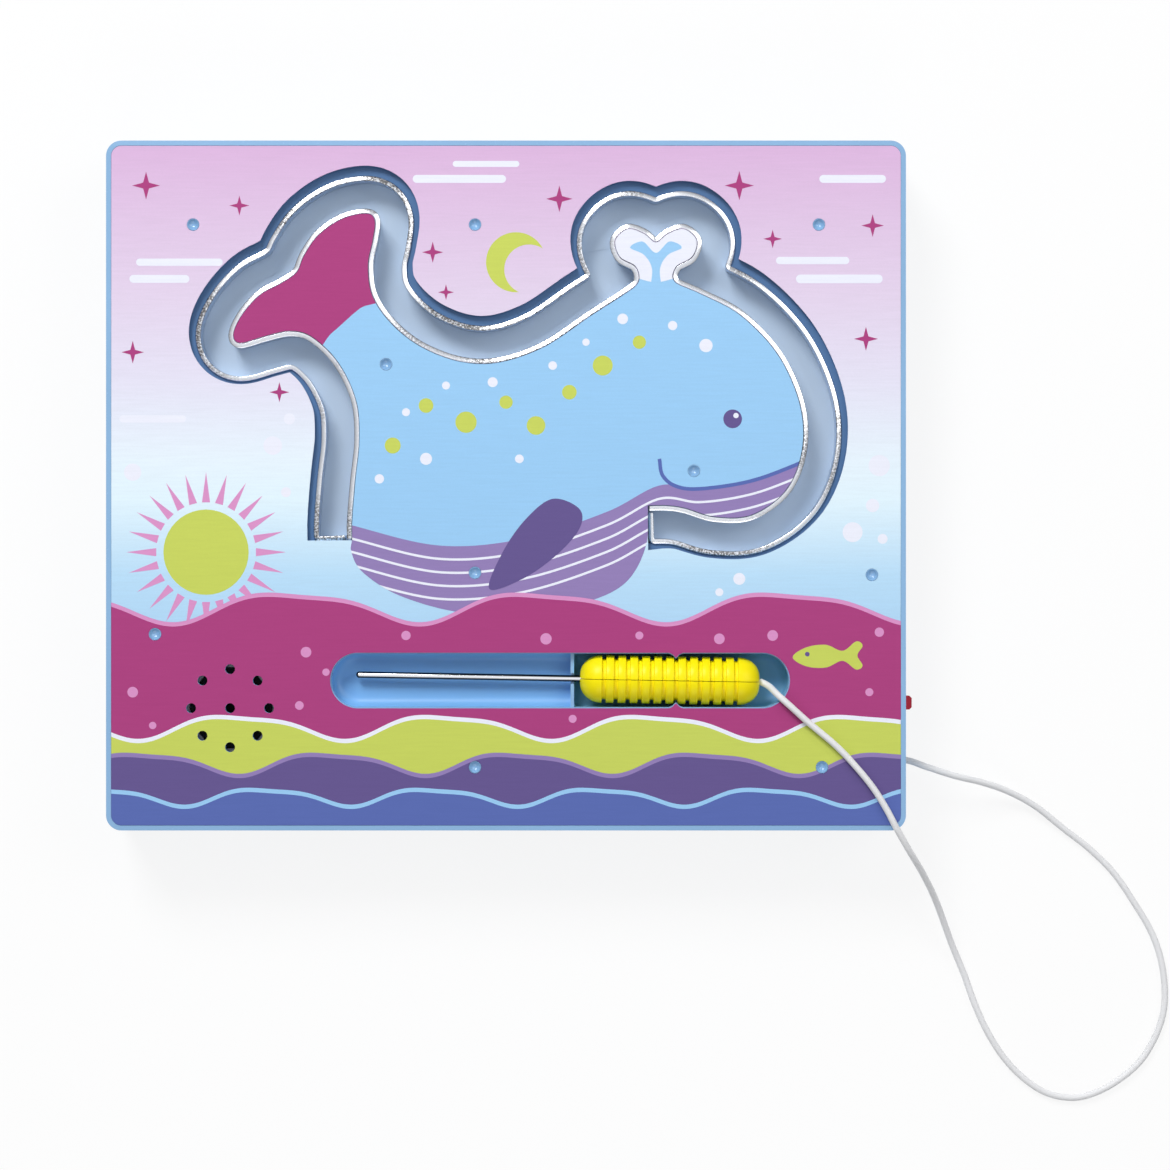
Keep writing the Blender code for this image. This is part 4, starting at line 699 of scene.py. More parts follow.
def smooth(item, angle=SHARP_ANGLE):
    """Smooth shading, with edges left sharp above an angle."""
    item.data.shade_smooth()
    item.data.set_sharp_from_angle(angle=math.radians(angle))
    return item


def round_edges(item, width, angle):
    """A modifier that rounds the edges sharper than an angle."""
    bevel = item.modifiers.new("Edge", "BEVEL")
    bevel.width = width
    bevel.segments = EDGE_STEPS
    bevel.limit_method = "ANGLE"
    bevel.angle_limit = math.radians(angle)


def finish_piece(item, name, body, slot, *nodes, material=None):
    """Name a piece, give it its body and a finish, its slot's or another, and hide the pieces it stands for.
    """
    item.name = name
    item.data.name = name
    item.data.materials.clear()
    item.data.materials.append(material or FINISH[slot])
    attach(item, body)
    if nodes:
        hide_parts(*nodes)
    return item


def new_material(name):
    """An empty node material with its shader."""
    material = bpy.data.materials.new(name)
    material.use_nodes = True
    tree = material.node_tree
    return material, tree, tree.nodes["Principled BSDF"]


def feed(tree, item, inputs):
    """Give a node's inputs their links or their values."""
    for name, value in inputs.items():
        if isinstance(value, bpy.types.NodeSocket):
            tree.links.new(value, item.inputs[name])
        else:
            item.inputs[name].default_value = value


def node(tree, kind, inputs=None, **settings):
    """A shader node with its settings and inputs."""
    item = tree.nodes.new(f"ShaderNode{kind}")
    for name, value in settings.items():
        setattr(item, name, value)
    feed(tree, item, inputs or {})
    return item


def coordinates(tree, stretch):
    """Places on the object, stretched."""
    place = node(tree, "TexCoord").outputs["Object"]
    return node(tree, "Mapping", {"Vector": place, "Scale": stretch}).outputs["Vector"]


def parted(tree, vector):
    """The three parts of a vector."""
    return node(tree, "SeparateXYZ", {"Vector": vector}).outputs


def noise(tree, vector, scale, detail):
    """A noise value over the object."""
    return node(tree, "TexNoise", {"Vector": vector, "Scale": scale, "Detail": detail}).outputs["Fac"]


def ranged(tree, value, from_low, from_high, to_low, to_high):
    """A value moved from one range to another, whose ends are numbers or sockets."""
    return node(tree, "MapRange", {
        "Value": value, "From Min": from_low, "From Max": from_high, "To Min": to_low, "To Max": to_high,
    }).outputs["Result"]


def ramp(tree, value, stops):
    """A colour along stops."""
    stops = list(stops)
    item = node(tree, "ValToRGB", {"Fac": value})
    elements = item.color_ramp.elements
    while len(elements) < len(stops):
        elements.new(0.5)
    for element, (position, colour) in zip(elements, stops):
        element.position = position
        element.color = colour
    return item.outputs["Color"]


def mixed(tree, share, first, second, blend="MIX"):
    """Two colours put together by a share."""
    inputs = {"Factor": share, "A": first, "B": second}
    return node(tree, "Mix", inputs, data_type="RGBA", blend_type=blend).outputs["Result"]


def tinted(tree, colour, value, amount):
    """A colour made a little lighter and darker by a value."""
    shade = ranged(tree, value, *NOISE_SPAN, 1.0 - amount, 1.0 + amount)
    return mixed(tree, 1.0, colour, shade, "MULTIPLY")


def paired(tree, operation, first, second):
    """Two values taken together by an operation."""
    return node(tree, "Math", {0: first, 1: second}, operation=operation).outputs["Value"]


def bumped(tree, shader, value, strength, distance):
    """Fine relief on a shader."""
    relief = node(tree, "Bump", {"Height": value, "Strength": strength, "Distance": distance})
    feed(tree, shader, {"Normal": relief.outputs["Normal"]})


def plain(name, colour, roughness, metallic=0.0, amount=0.05, sheen=0.5):
    """A finish of one colour with slight unevenness in tone, gloss and relief."""
    material, tree, shader = new_material(name)
    vector = coordinates(tree, EVEN)
    broad = noise(tree, vector, *BROAD_NOISE)
    fine = noise(tree, vector, *FINE_NOISE)
    base = ramp(tree, broad, zip(NOISE_SPAN, (colour, colour)))
    feed(tree, shader, {
        "Base Color": tinted(tree, base, broad, amount),
        "Roughness": ranged(tree, fine, *NOISE_SPAN, roughness - GLOSS_SPREAD, roughness + GLOSS_SPREAD),
        "Metallic": metallic,
        "Specular IOR Level": sheen,
    })
    bumped(tree, shader, fine, *FINE_RELIEF)
    return material


def printed(name, stops):
    """A printed colour that changes up the sheet, with the fine streaks of a satin film."""
    material, tree, shader = new_material(name)
    up = parted(tree, node(tree, "TexCoord").outputs["Object"])["Y"]
    base = ramp(tree, ranged(tree, up, -CASE_HEIGHT / 2, CASE_HEIGHT / 2, 0.0, 1.0), stops)
    streak = noise(tree, coordinates(tree, ALONG_FILM), *STREAK_NOISE)
    grain = noise(tree, coordinates(tree, EVEN), *FILM_NOISE)
    feed(tree, shader, {
        "Base Color": tinted(tree, tinted(tree, base, streak, STREAK_AMOUNT), grain, FILM_AMOUNT),
        "Roughness": ranged(tree, streak, *NOISE_SPAN, *FILM_ROUGHNESS),
        "Specular IOR Level": FILM_SHEEN,
    })
    bumped(tree, shader, grain, *FILM_RELIEF)
    return material


def rod_steel(name, colour, dark, roughness):
    """Bright drawn steel with fine marks along it, and a painted reflection: the colour darkens along each
    shoulder by which way the surface faces, for the dark surroundings it mirrors.
    """
    material, tree, shader = new_material(name)
    up = parted(tree, node(tree, "TexCoord").outputs["Normal"])["Z"]
    marks = noise(tree, coordinates(tree, ALONG_ROD), *MARK_NOISE)
    base = ramp(tree, up, zip(ROD_PAINTED_REFLECTION_BANDS, (colour, dark, dark, colour)))
    feed(tree, shader, {
        "Base Color": tinted(tree, base, marks, MARK_AMOUNT),
        "Roughness": ranged(tree, marks, *NOISE_SPAN, *(roughness * share for share in MARK_GLOSS)),
        "Metallic": 1.0,
    })
    bumped(tree, shader, marks, *MARK_RELIEF)
    return material


def speckled(name, colour, dark, wall, roughness):
    """A bright lip with stretches of coarse, glinting grain, on a duller wall in a bluer colour: a painted
    blue tint for the shade and bounce light along the track's walls.
    """
    material, tree, shader = new_material(name)
    vector = coordinates(tree, EVEN)
    grain = noise(tree, vector, *GRAIN_NOISE)
    patch = noise(tree, vector, *PATCH_NOISE)
    on_lip = ranged(tree, parted(tree, vector)["Z"], LIP_GRAIN_FROM, LIP_GRAIN_TO, 0.0, 1.0)
    share = paired(tree, "MULTIPLY", ranged(tree, patch, *PATCH_SPAN, *PATCH_SHARE), on_lip)
    even = ramp(tree, on_lip, zip((0.0, 1.0), (wall, colour)))
    coarse = ramp(tree, grain, zip(GRAIN_SPAN, (dark, colour)))
    feed(tree, shader, {
        "Base Color": mixed(tree, share, even, coarse),
        "Roughness": ranged(tree, on_lip, 0.0, 1.0, WALL_ROUGHNESS, roughness * LIP_GLOSS),
        "Metallic": 1.0,
    })
    bumped(tree, shader, paired(tree, "MULTIPLY", grain, share), *GRAIN_RELIEF)
    return material


def metal(name, colour, roughness, sparkle):
    """A bright metal with a fine sparkling grain."""
    material, tree, shader = new_material(name)
    vector = coordinates(tree, ACROSS_METAL)
    grain = noise(tree, vector, *METAL_GRAIN_NOISE)
    broad = noise(tree, vector, *METAL_TONE_NOISE)
    base = ramp(tree, broad, zip(NOISE_SPAN, (colour, colour)))
    feed(tree, shader, {
        "Base Color": tinted(tree, base, broad, METAL_AMOUNT),
        "Roughness": ranged(tree, grain, *NOISE_SPAN, *(roughness * share for share in METAL_GLOSS)),
        "Metallic": 1.0,
    })
    bumped(tree, shader, grain, sparkle, METAL_GRAIN_DEPTH)
    return material


EDGE_PATH = smooth_run(mm(TRACK_EDGE), PATH_SPACING)

FINISH = {
    name: plain(name, tone(*colour), roughness, **more)
    for name, (colour, roughness, more) in PLAIN_FINISHES.items()
}
# Painted shade: the strip's wall below the lip takes a bluer copy of the metal's colour
FINISH["contact_metal"] = speckled(
    "contact_metal", tone(240, 242, 246), tone(92, 86, 80), tone(200, 215, 235), 0.16
)
# Painted reflection: the rod's shoulders take the darker colour for the dark surroundings they mirror
FINISH["bright_steel"] = rod_steel("bright_steel", tone(236, 237, 239), tone(58, 60, 64), 0.08)
FINISH["screw_steel"] = metal("screw_steel", tone(180, 182, 186), 0.28, 0.25)
FINISH["dark_steel"] = metal("dark_steel", tone(110, 110, 114), 0.42, 0.3)
FINISH["printed_film"] = printed("print_sky", [(place, tone(*colour)) for place, colour in SKY_STOPS])


def build_cord():
    """The white cord as an even tube, which rises from the stylus's end over the face."""
    line = smooth_run(mm(CORD_ROUTE), CORD_SPACING)[::-1]
    heading = headings(line)
    side = np.cross(heading[0], (0.0, 0.0, 1.0))
    ring = circle(0.0, 0.0, CORD_RADIUS, CORD_SIDES)
    loops = []
    for place, ahead in zip(line, heading):
        side = side - ahead * np.dot(side, ahead)
        side /= np.linalg.norm(side)
        up = np.cross(side, ahead)
        loops.append([tuple(place + side * a + up * b) for a, b in ring])
    cord = smooth(loft(loops, "stylus_cord_fine"))
    cord.data.materials.append(FINISH["white_cord"])
    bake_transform(cord)
    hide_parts("stylus_cord")


def set_camera():
    """The camera straight above the face, where the photo has it."""
    data = bpy.data.cameras.new("camera")
    data.lens = CAMERA_LENS
    data.sensor_width = CAMERA_SENSOR
    camera = bpy.data.objects.new("camera", data)
    camera.location = CAMERA_PLACE
    bpy.context.scene.collection.objects.link(camera)
    bpy.context.scene.camera = camera
    bpy.context.scene.view_settings.view_transform = "Standard"


def area_light(place, width, height, power):
    """A soft lamp aimed at the part."""
    data = bpy.data.lights.new("soft_lamp", "AREA")
    data.shape = "RECTANGLE"
    data.size = width
    data.size_y = height
    data.energy = power
    lamp = bpy.data.objects.new("soft_lamp", data)
    lamp.location = place
    lamp.rotation_euler = (-Vector(place)).to_track_quat("-Z", "Y").to_euler()
    bpy.context.scene.collection.objects.link(lamp)


def set_stage():
    """A white table and soft lamps."""
    half = FLOOR_SIZE / 2
    mesh = bpy.data.meshes.new("table")
    mesh.from_pydata([(x, y, FLOOR_Z) for x, y in rectangle(-half, half, -half, half)], [], [(0, 1, 2, 3)])
    table = add(mesh, "table")
    material, tree, shader = new_material("table_white")
    tree.nodes.remove(shader)
    diffuse = node(tree, "BsdfDiffuse", {"Color": TABLE_COLOUR})
    glow = node(tree, "Emission", {"Color": WHITE, "Strength": 1.0})
    rays = seen_by(tree, ("Is Camera Ray", "Is Glossy Ray", "Is Transmission Ray"))
    share = ranged(tree, rays, 0.0, 1.0, 0.0, FLOOR_GLOW)
    mix = node(tree, "MixShader", {"Fac": share, 1: diffuse.outputs["BSDF"], 2: glow.outputs["Emission"]})
    feed(tree, tree.nodes["Material Output"], {"Surface": mix.outputs["Shader"]})
    mesh.materials.append(material)
    for lamp in LAMPS:
        area_light(*lamp)


def set_surround():
    """An even surround, white behind the part, and in mirrors bright overhead and dim low down."""
    world = bpy.data.worlds.new("surround")
    bpy.context.scene.world = world
    world.use_nodes = True
    tree = world.node_tree
    up = parted(tree, node(tree, "TexCoord").outputs["Generated"])["Z"]
    mirrored = ranged(tree, up, MIRROR_FROM, MIRROR_TO, MIRROR_LOW, MIRROR_HIGH)
    level = ranged(tree, seen_by(tree, ("Is Glossy Ray",)), 0.0, 1.0, WORLD_LEVEL, mirrored)
    level = ranged(tree, seen_by(tree, ("Is Camera Ray", "Is Transmission Ray")), 0.0, 1.0, level, 1.0)
    feed(tree, tree.nodes["Background"], {"Color": WORLD_COLOUR, "Strength": level})


def seen_by(tree, rays):
    """One for the rays named, else zero."""
    path = node(tree, "LightPath").outputs
    value = path[rays[0]]
    for name in rays[1:]:
        value = paired(tree, "MAXIMUM", value, path[name])
    return value


def finish_nodes():
    """Finishes on the pieces that are shown as the part has them."""
    for item in NODES.values():
        if not item.data.materials:
            continue
        slot = item.data.materials[0].name.split(".")[0]
        item.data.materials[0] = FINISH[slot]


def pocket_outline(grow):
    """The handle's end of the tray, from the divider on, grown by a margin."""
    radius = TRAY_WIDTH / 2 + grow
    corner = max(POCKET_CORNER + grow, LEAST_CORNER)
    left = DIVIDER_X + DIVIDER_THICKNESS / 2 - grow + corner
    return (
        arc((TRAY_X + TRAY_STRAIGHT, TRAY_Y), radius, -math.pi / 2, math.pi / 2, TRAY_END_STEPS)
        + arc((left, TRAY_Y + radius - corner), corner, math.pi / 2, math.pi, FILLET_STEPS)
        + arc((left, TRAY_Y - radius + corner), corner, math.pi, 3 * math.pi / 2, FILLET_STEPS)
    )


def pocket_cutter(outline, floor, fillet):
    """A cutter for a pocket with a rounded floor edge."""
    loops = [[(x, y, UNDER_TABS) for x, y in outline(0.0)]]
    for n in range(FILLET_STEPS + 1):
        angle = math.pi / 2 * n / FILLET_STEPS
        height = floor + fillet * (1 - math.sin(angle))
        loops.append([(x, y, height) for x, y in outline(-fillet * (1 - math.cos(angle)))])
    return loft(loops)


def collar_profile():
    """A pit's collar, which comes up through the sheet."""
    radius = PIT_RADIUS - RIM_GAP
    return [(radius, PLATE_MIDDLE), (radius, SHEET_TOP - PIT_EDGE), (radius - PIT_EDGE, SHEET_TOP)]


def bowl_profile():
    """A cutter for a pit's round bowl."""
    radius = PIT_RADIUS - RIM_GAP - 2 * PIT_EDGE
    profile = [(radius, SHEET_TOP + PAST)]
    for share in np.linspace(1.0, 0.0, PIT_RINGS):
        profile.append((radius * share, SHEET_TOP - PIT_DEPTH * (1 - share ** 2)))
    return profile


def build_cover():
    """The front shell with round edges, pits, sound holes, the tray and the track opening."""
    cover = prism([case_outline(0.0)], SEAM_Z, FACE_Z)
    round_edges(cover, CASE_EDGE_ROUND, CASE_EDGE_ANGLE)
    fixed(cover)
    combine(cover, "DIFFERENCE", [prism([case_outline(CASE_WALL)], SEAM_Z - PAST, PLATE_BOTTOM)])
    skirt = track_band(-TRACK_SKIRT, TRACK_WIDTH + TRACK_SKIRT, TRACK_SKIRT)
    for outline, low in (
        (skirt, SKIRT_BOTTOM),
        (tray_outline(TRAY_WALL, False), ROD_POCKET_Z - TRAY_WALL),
        (pocket_outline(TRAY_WALL), HANDLE_POCKET_Z - TRAY_WALL),
    ):
        combine(cover, "UNION", [prism([outline], low, PLATE_MIDDLE)])
    above = FACE_Z + PAST
    wall = CASE_WIDTH / 2
    knob_half = KNOB_WIDTH / 2 + KNOB_SIDE
    knob_high = KNOB_HEIGHT / 2 + KNOB_SIDE
    knob_end = SWITCH_Y + SWITCH_TRAVEL + knob_half
    knob_slot = rectangle(wall - CASE_WALL - PAST, wall + PAST, SWITCH_Y - knob_half, knob_end)
    hole = CORD_RADIUS + KNOB_SIDE
    turn = Matrix.Translation((wall, CORD_EXIT_Y, CORD_EXIT_Z)) @ Matrix.Rotation(math.pi / 2, 4, "Y")
    removed = [
        prism([case_outline(RIM_WIDTH)], PLATE_TOP, above),
        prism([track_band(0.0, TRACK_WIDTH, 0.0)], SKIRT_BOTTOM - PAST, above),
        prism([lifted_band(TRACK_WIDTH - STRIP_THICKNESS, -RIM_GAP)], FACE_Z - STEP_DEPTH, above),
        turned([(hole, -CASE_WALL - PAST), (hole, PAST)], PIT_STEPS, matrix=turn),
        prism([knob_slot], SWITCH_Z - knob_high, SWITCH_Z + knob_high),
    ]
    removed += [
        prism([circle(x, y, SOUND_HOLE_RADIUS, SOUND_HOLE_STEPS)], PLATE_BOTTOM - PAST, above)
        for x, y in sound_hole_places()
    ]
    combine(cover, "DIFFERENCE", removed)
    for outline, floor, fillet in (
        (pocket_outline, HANDLE_POCKET_Z, POCKET_FILLET),
        (lambda grow: tray_outline(grow, False), ROD_POCKET_Z, TRAY_FILLET),
    ):
        combine(cover, "DIFFERENCE", [pocket_cutter(outline, floor, fillet)])
    combine(cover, "DIFFERENCE", [prism([tray_outline(0.0, True)], PLATE_BOTTOM, above)])
    for operation, profile in (("UNION", collar_profile()), ("DIFFERENCE", bowl_profile())):
        combine(cover, operation, [
            turned(profile, PIT_STEPS, matrix=Matrix.Translation((x, y, 0.0))) for x, y in mm(FIXING_PLACES)
        ])
    half = DIVIDER_THICKNESS / 2
    reach = TRAY_WIDTH / 2 + TRAY_WALL / 2
    divider = prism(
        [rectangle(DIVIDER_X - half, DIVIDER_X + half - RIM_GAP, TRAY_Y - reach, TRAY_Y + reach)],
        HANDLE_POCKET_Z - TRAY_WALL / 2, PLATE_BOTTOM + RIM_GAP,
    )
    combine(cover, "UNION", [divider])
    slot_y = TRAY_Y + (DIVIDER_X - STYLUS_X) * math.tan(STYLUS_TILT)
    slot = prism(
        [rectangle(DIVIDER_X - PAST, DIVIDER_X + PAST, slot_y - ROD_SLOT_HALF, slot_y + ROD_SLOT_HALF)],
        AXIS_Z - ROD_SLOT_HALF, PLATE_BOTTOM + PAST / 4,
    )
    combine(cover, "DIFFERENCE", [slot])
    smooth(cover, COVER_SHARP_ANGLE)
    finish_piece(cover, "front_cover_fine", "case", "blue_plastic", "front_cover")
    # Painted shade and light: the track's walls, the tray and the handle's pocket get copies of the blue in
    # other tones
    shade_cover(cover.data)


def shade_cover(mesh):
    """Painted shade and light on the blue: a darker copy on the walls of the track for their shade, and
    copies in other tones in the tray and in the handle's pocket for how light falls there.
    """
    for zone in ("track", "pocket", "tray"):
        mesh.materials.append(FINISH[f"blue_plastic_{zone}"])
    points = np.array([tuple(vertex.co) for vertex in mesh.vertices])
    away = distance_to_path(points[:, :2], EDGE_PATH)
    near = TRACK_WIDTH - SIDE_ROOM
    far = TRACK_WIDTH + STEP_WIDTH + PRINT_SETBACK + PRINT_LIFT + SIDE_ROOM
    track_painted_shade = (away > near) & (away < far)
    track_painted_shade &= (points[:, 2] < PLATE_TOP + WELD) & (points[:, 2] > SKIRT_BOTTOM - WELD)
    for x, y in mm(FIXING_PLACES):
        track_painted_shade &= np.hypot(points[:, 0] - x, points[:, 1] - y) > PIT_RADIUS + SIDE_ROOM
    in_tray = (
        (np.abs(points[:, 0] - TRAY_X) < TRAY_LENGTH / 2 + SIDE_ROOM)
        & (np.abs(points[:, 1] - TRAY_Y) < TRAY_WIDTH / 2 + SIDE_ROOM)
        & (points[:, 2] > HANDLE_POCKET_Z - SIDE_ROOM) & (points[:, 2] < UNDER_TABS + SIDE_ROOM)
    )
    # Painted light: the pocket's and the tray's faces take the copies of the blue in other tones
    pocket_painted_light = in_tray & (points[:, 0] > DIVIDER_X)
    tray_painted_light = in_tray & (points[:, 0] < DIVIDER_X - DIVIDER_THICKNESS / 2 + SIDE_ROOM)
    for polygon in mesh.polygons:
        corners = list(polygon.vertices)
        for index, zone in enumerate((track_painted_shade, pocket_painted_light, tray_painted_light), start=1):
            if zone[corners].all():
                polygon.material_index = index
                break


def sheet_loops():
    """The printed sheet's outline and its openings."""
    loops = [case_outline(RIM_WIDTH + RIM_GAP), lifted_band(-RIM_GAP, RIM_GAP)]
    loops.append(tray_outline(TRAY_REVEAL, True))
    loops += [circle(x, y, SOUND_HOLE_RADIUS, SOUND_HOLE_STEPS) for x, y in sound_hole_places()]
    loops += [circle(x, y, PIT_RADIUS, PIT_STEPS) for x, y in mm(FIXING_PLACES)]
    return loops


def sweep(path, profile):
    """A strip along a run in the plane, from a closed profile of distance to the left and height."""
    loops = []
    for place, ahead in zip(path, headings(path)):
        left = np.array((-ahead[1], ahead[0]))
        loops.append([(*(place + left * across), z) for across, z in profile])
    return loft(loops)


def softened(path, spacing, reach):
    """A run with its corners rounded by averaging over a reach, ends kept."""
    run = evenly_spaced(path, spacing)
    count = max(1, round(reach / spacing))
    padded = np.vstack((np.repeat(run[:1], count, axis=0), run, np.repeat(run[-1:], count, axis=0)))
    window = np.ones(2 * count + 1) / (2 * count + 1)
    soft = np.stack([np.convolve(padded[:, axis], window, "valid") for axis in range(2)], axis=1)
    return np.vstack((run[:1], soft[1:-1], run[-1:]))


def lip_profile(top):
    """A thin strip with its upper edge rolled over to its left."""
    half = STRIP_THICKNESS / 2
    lip = [(across, top + height) for across, height in mm(LIP_SHAPE)]
    return [(half, SKIRT_BOTTOM), *lip, (-half, SKIRT_BOTTOM)]


def build_strips():
    """Contact strips with rolled lips along both walls of the track."""
    inner_path = lengthened(EDGE_PATH, -STRIP_THICKNESS / 2)
    inner = softened(offset_path(inner_path, INNER_LIP_PLACE), LIP_SPACING, LIP_SPACING)
    outer_path = lengthened(EDGE_PATH, -STRIP_THICKNESS)
    outer = offset_path(outer_path, OUTER_LIP_PLACE)
    across = offset_path(outer_path, INNER_LIP_PLACE + LIP_OVERHANG)
    run = softened(np.vstack((across[:1], outer, across[-1:])), LIP_SPACING, LIP_BEND)
    for side, path, top in (("inner", inner, INNER_LIP_TOP), ("outer", run, OUTER_LIP_TOP)):
        strip = smooth(sweep(path, lip_profile(top)), RIB_SHARP_ANGLE)
        finish_piece(
            strip, f"{side}_lip", "case", "bright_steel", f"{side}_contact_strip",
            material=FINISH["contact_metal"],
        )


def build_floor():
    """The track's floor with the fine seam between its two sheets."""
    band = track_band(-FLOOR_OVERLAP, TRACK_WIDTH + FLOOR_OVERLAP, FLOOR_OVERLAP)
    floor = prism([band], FLOOR_TOP - FLOOR_THICKNESS, FLOOR_TOP)
    middle = round(len(EDGE_PATH) * FLOOR_SEAM)
    ahead = EDGE_PATH[middle + 1] - EDGE_PATH[middle - 1]
    left = np.array((-ahead[1], ahead[0])) / np.linalg.norm(ahead)
    reaches = (-FLOOR_OVERLAP, TRACK_WIDTH + FLOOR_OVERLAP)
    seam = np.array([EDGE_PATH[middle] + left * reach for reach in reaches])
    groove = prism([line_loop(seam, FLOOR_SEAM_WIDTH)], FLOOR_TOP - FLOOR_SEAM_DEPTH, FLOOR_TOP + PAST)
    combine(floor, "DIFFERENCE", [groove])
    finish_piece(floor, "track_floor_fine", "case", "track_metal", "track_floor_1", "track_floor_2")


def stylus_place():
    """Where the stylus lies in its tray, with its axis along X."""
    return Matrix.Translation((STYLUS_X, TRAY_Y, AXIS_Z)) @ Matrix.Rotation(STYLUS_TILT, 4, "Z")


def dome(tip):
    """The outline of the handle's left end, from a small flat tip to its full radius."""
    outline = []
    for n in range(DOME_STEPS + 1):
        angle = math.pi / 2 * n / DOME_STEPS
        radius = tip + (HANDLE_RADIUS - tip) * math.sin(angle)
        outline.append((HANDLE_DOME * (1 - math.cos(angle)) - HANDLE_LENGTH / 2, radius))
    return outline


def handle_profile():
    """The handle's half outline, as places along it and radii: domed ends and rounded ring grooves."""
    profile = dome(ROD_END_RADIUS)
    for n in range(GROOVE_COUNT):
        middle = (n - (GROOVE_COUNT - 1) / 2) * GROOVE_PITCH
        down = [(middle - side * MM, HANDLE_RADIUS - depth * MM) for side, depth in GROOVE_SHAPE]
        profile += down + [(2 * middle - x, radius) for x, radius in reversed(down)]
    return profile + [(-x, radius) for x, radius in reversed(dome(CORD_END_RADIUS))]


def build_stylus():
    """The ribbed handle, whose two halves part along an upright plane, and its steel rod."""
    profile = handle_profile()
    for name, side in (("handle_upper_half", 1), ("handle_lower_half", -1)):
        points = []
        for x, radius in profile:
            for n in range(HANDLE_STEPS + 1):
                angle = math.pi * n / HANDLE_STEPS
                y = side * (radius * math.sin(angle) + PARTING_GAP / 2)
                points.append((x, y, radius * math.cos(angle)))
        row = HANDLE_STEPS + 1
        faces = [tuple(range(row)), tuple(range((len(profile) - 1) * row, len(profile) * row))]
        faces.append((*range(0, len(points), row), *range(len(points) - 1, 0, -row)))
        for n in range(len(profile) - 1):
            for m in range(HANDLE_STEPS):
                faces.append((n * row + m, n * row + m + 1, (n + 1) * row + m + 1, (n + 1) * row + m))
        mesh = bpy.data.meshes.new(name)
        mesh.from_pydata(points, [], faces)
        mesh.transform(stylus_place())
        tidy(mesh)
        half = smooth(add(mesh, name), RIB_SHARP_ANGLE)
        finish_piece(half, f"{name}_fine", "stylus", "yellow_plastic", name)
    tip = -HANDLE_LENGTH / 2 - ROD_REACH
    end = -HANDLE_LENGTH / 2 + ROD_INSERT
    angles = np.linspace(ROD_TIP_ANGLE, math.pi / 2, ROD_TIP_STEPS)
    profile = [(ROD_RADIUS * math.sin(a), tip + ROD_RADIUS * (1 - math.cos(a))) for a in angles]
    profile.append((ROD_RADIUS, end))
    rod = turned(profile, ROD_STEPS, matrix=stylus_place() @ Matrix.Rotation(math.pi / 2, 4, "Y"))
    finish_piece(smooth(rod), "stylus_rod_fine", "stylus", "bright_steel", "stylus_rod")


def build_screws():
    """Case screws with rounded heads and cross recesses, one under each pit."""
    profile = [(SCREW_HEAD_RADIUS * out, SCREW_HEAD_HEIGHT * up) for out, up in HEAD_SHAPE]
    shank = SCREW_LENGTH - SCREW_POINT
    profile += [(SCREW_RADIUS, SCREW_HEAD_HEIGHT), (SCREW_RADIUS, shank), (0.0, SCREW_LENGTH)]
    pattern = turned(profile, SCREW_STEPS)
    wide, along = RECESS_WIDTH / 2, RECESS_LENGTH / 2
    combine(pattern, "DIFFERENCE", [
        prism([rectangle(-wide, wide, -along, along)], -PAST, RECESS_DEPTH),
        prism([rectangle(-along, along, -wide, wide)], -PAST, RECESS_DEPTH),
    ])
    smooth(pattern, SCREW_SHARP_ANGLE)
    for n, (x, y) in enumerate(mm(FIXING_PLACES), start=1):
        mesh = pattern.data.copy()
        mesh.transform(Matrix.Translation((x, y, SCREW_HEAD_SINK)) @ Matrix.Rotation(n, 4, "Z"))
        name = f"case_screw_{n}"
        finish_piece(add(mesh, name), f"{name}_fine", "case", "screw_steel", name)
    bpy.data.objects.remove(pattern, do_unlink=True)


def soften_nodes():
    """Slightly rounded edges on two small pieces that are shown as the part has them."""
    for name, width in (("battery_door", DOOR_EDGE), ("slide_switch_knob", KNOB_EDGE)):
        round_edges(NODES[name], width, EDGE_ANGLE)


def tint(name, steps, darker):
    """A printed colour that gets slightly deeper down the sheet."""
    colour = tone(*steps)
    low = tuple(value * darker for value in colour[:3])
    return printed(f"print_{name}", ((0.0, (*low, 1.0)), (1.0, colour)))


def ink(name, loops, level, material, inside=None):
    """A layer of ink on the sheet, kept to the sheet and, where one is given, to another outline."""
    low = SHEET_TOP + level * INK_STEP
    layer = prism(SHEET, low, low + INK_STEP, name)
    for outline in ([loops] if inside is None else [loops, [inside]]):
        combine(layer, "INTERSECT", [prism(outline, low - PAST, low + PAST)])
    finish_piece(layer, name, "case", "printed_film", material=material)


def blob(points):
    """A smooth closed outline through places in millimetres."""
    return tuples(smooth_run(mm(points), INK_SPACING, closed=True))


def run_of(points):
    """A smooth run through places in millimetres."""
    return smooth_run(mm(points), INK_SPACING)


def line_loop(run, width):
    """The outline of an even line along a run."""
    heading = headings(run)
    left = np.stack((-heading[:, 1], heading[:, 0]), axis=1) * width / 2
    return band_loop(run + left, run - left)


def dots(places):
    """Round outlines from places and radii in millimetres."""
    return [circle(x * MM, y * MM, radius * MM, DOT_STEPS) for x, y, radius in places]


def sparkles(places):
    """Four-pointed outlines from places and sizes in millimetres."""
    loops = []
    for x, y, size in places:
        loop = []
        for n in range(SPARKLE_POINTS):
            reach = size * SPARKLE_SHAPE[n % len(SPARKLE_SHAPE)]
            angle = 2 * math.pi * n / SPARKLE_POINTS
            loop.append((x + reach * math.cos(angle), y + reach * math.sin(angle)))
        loops.append(mm(loop))
    return loops


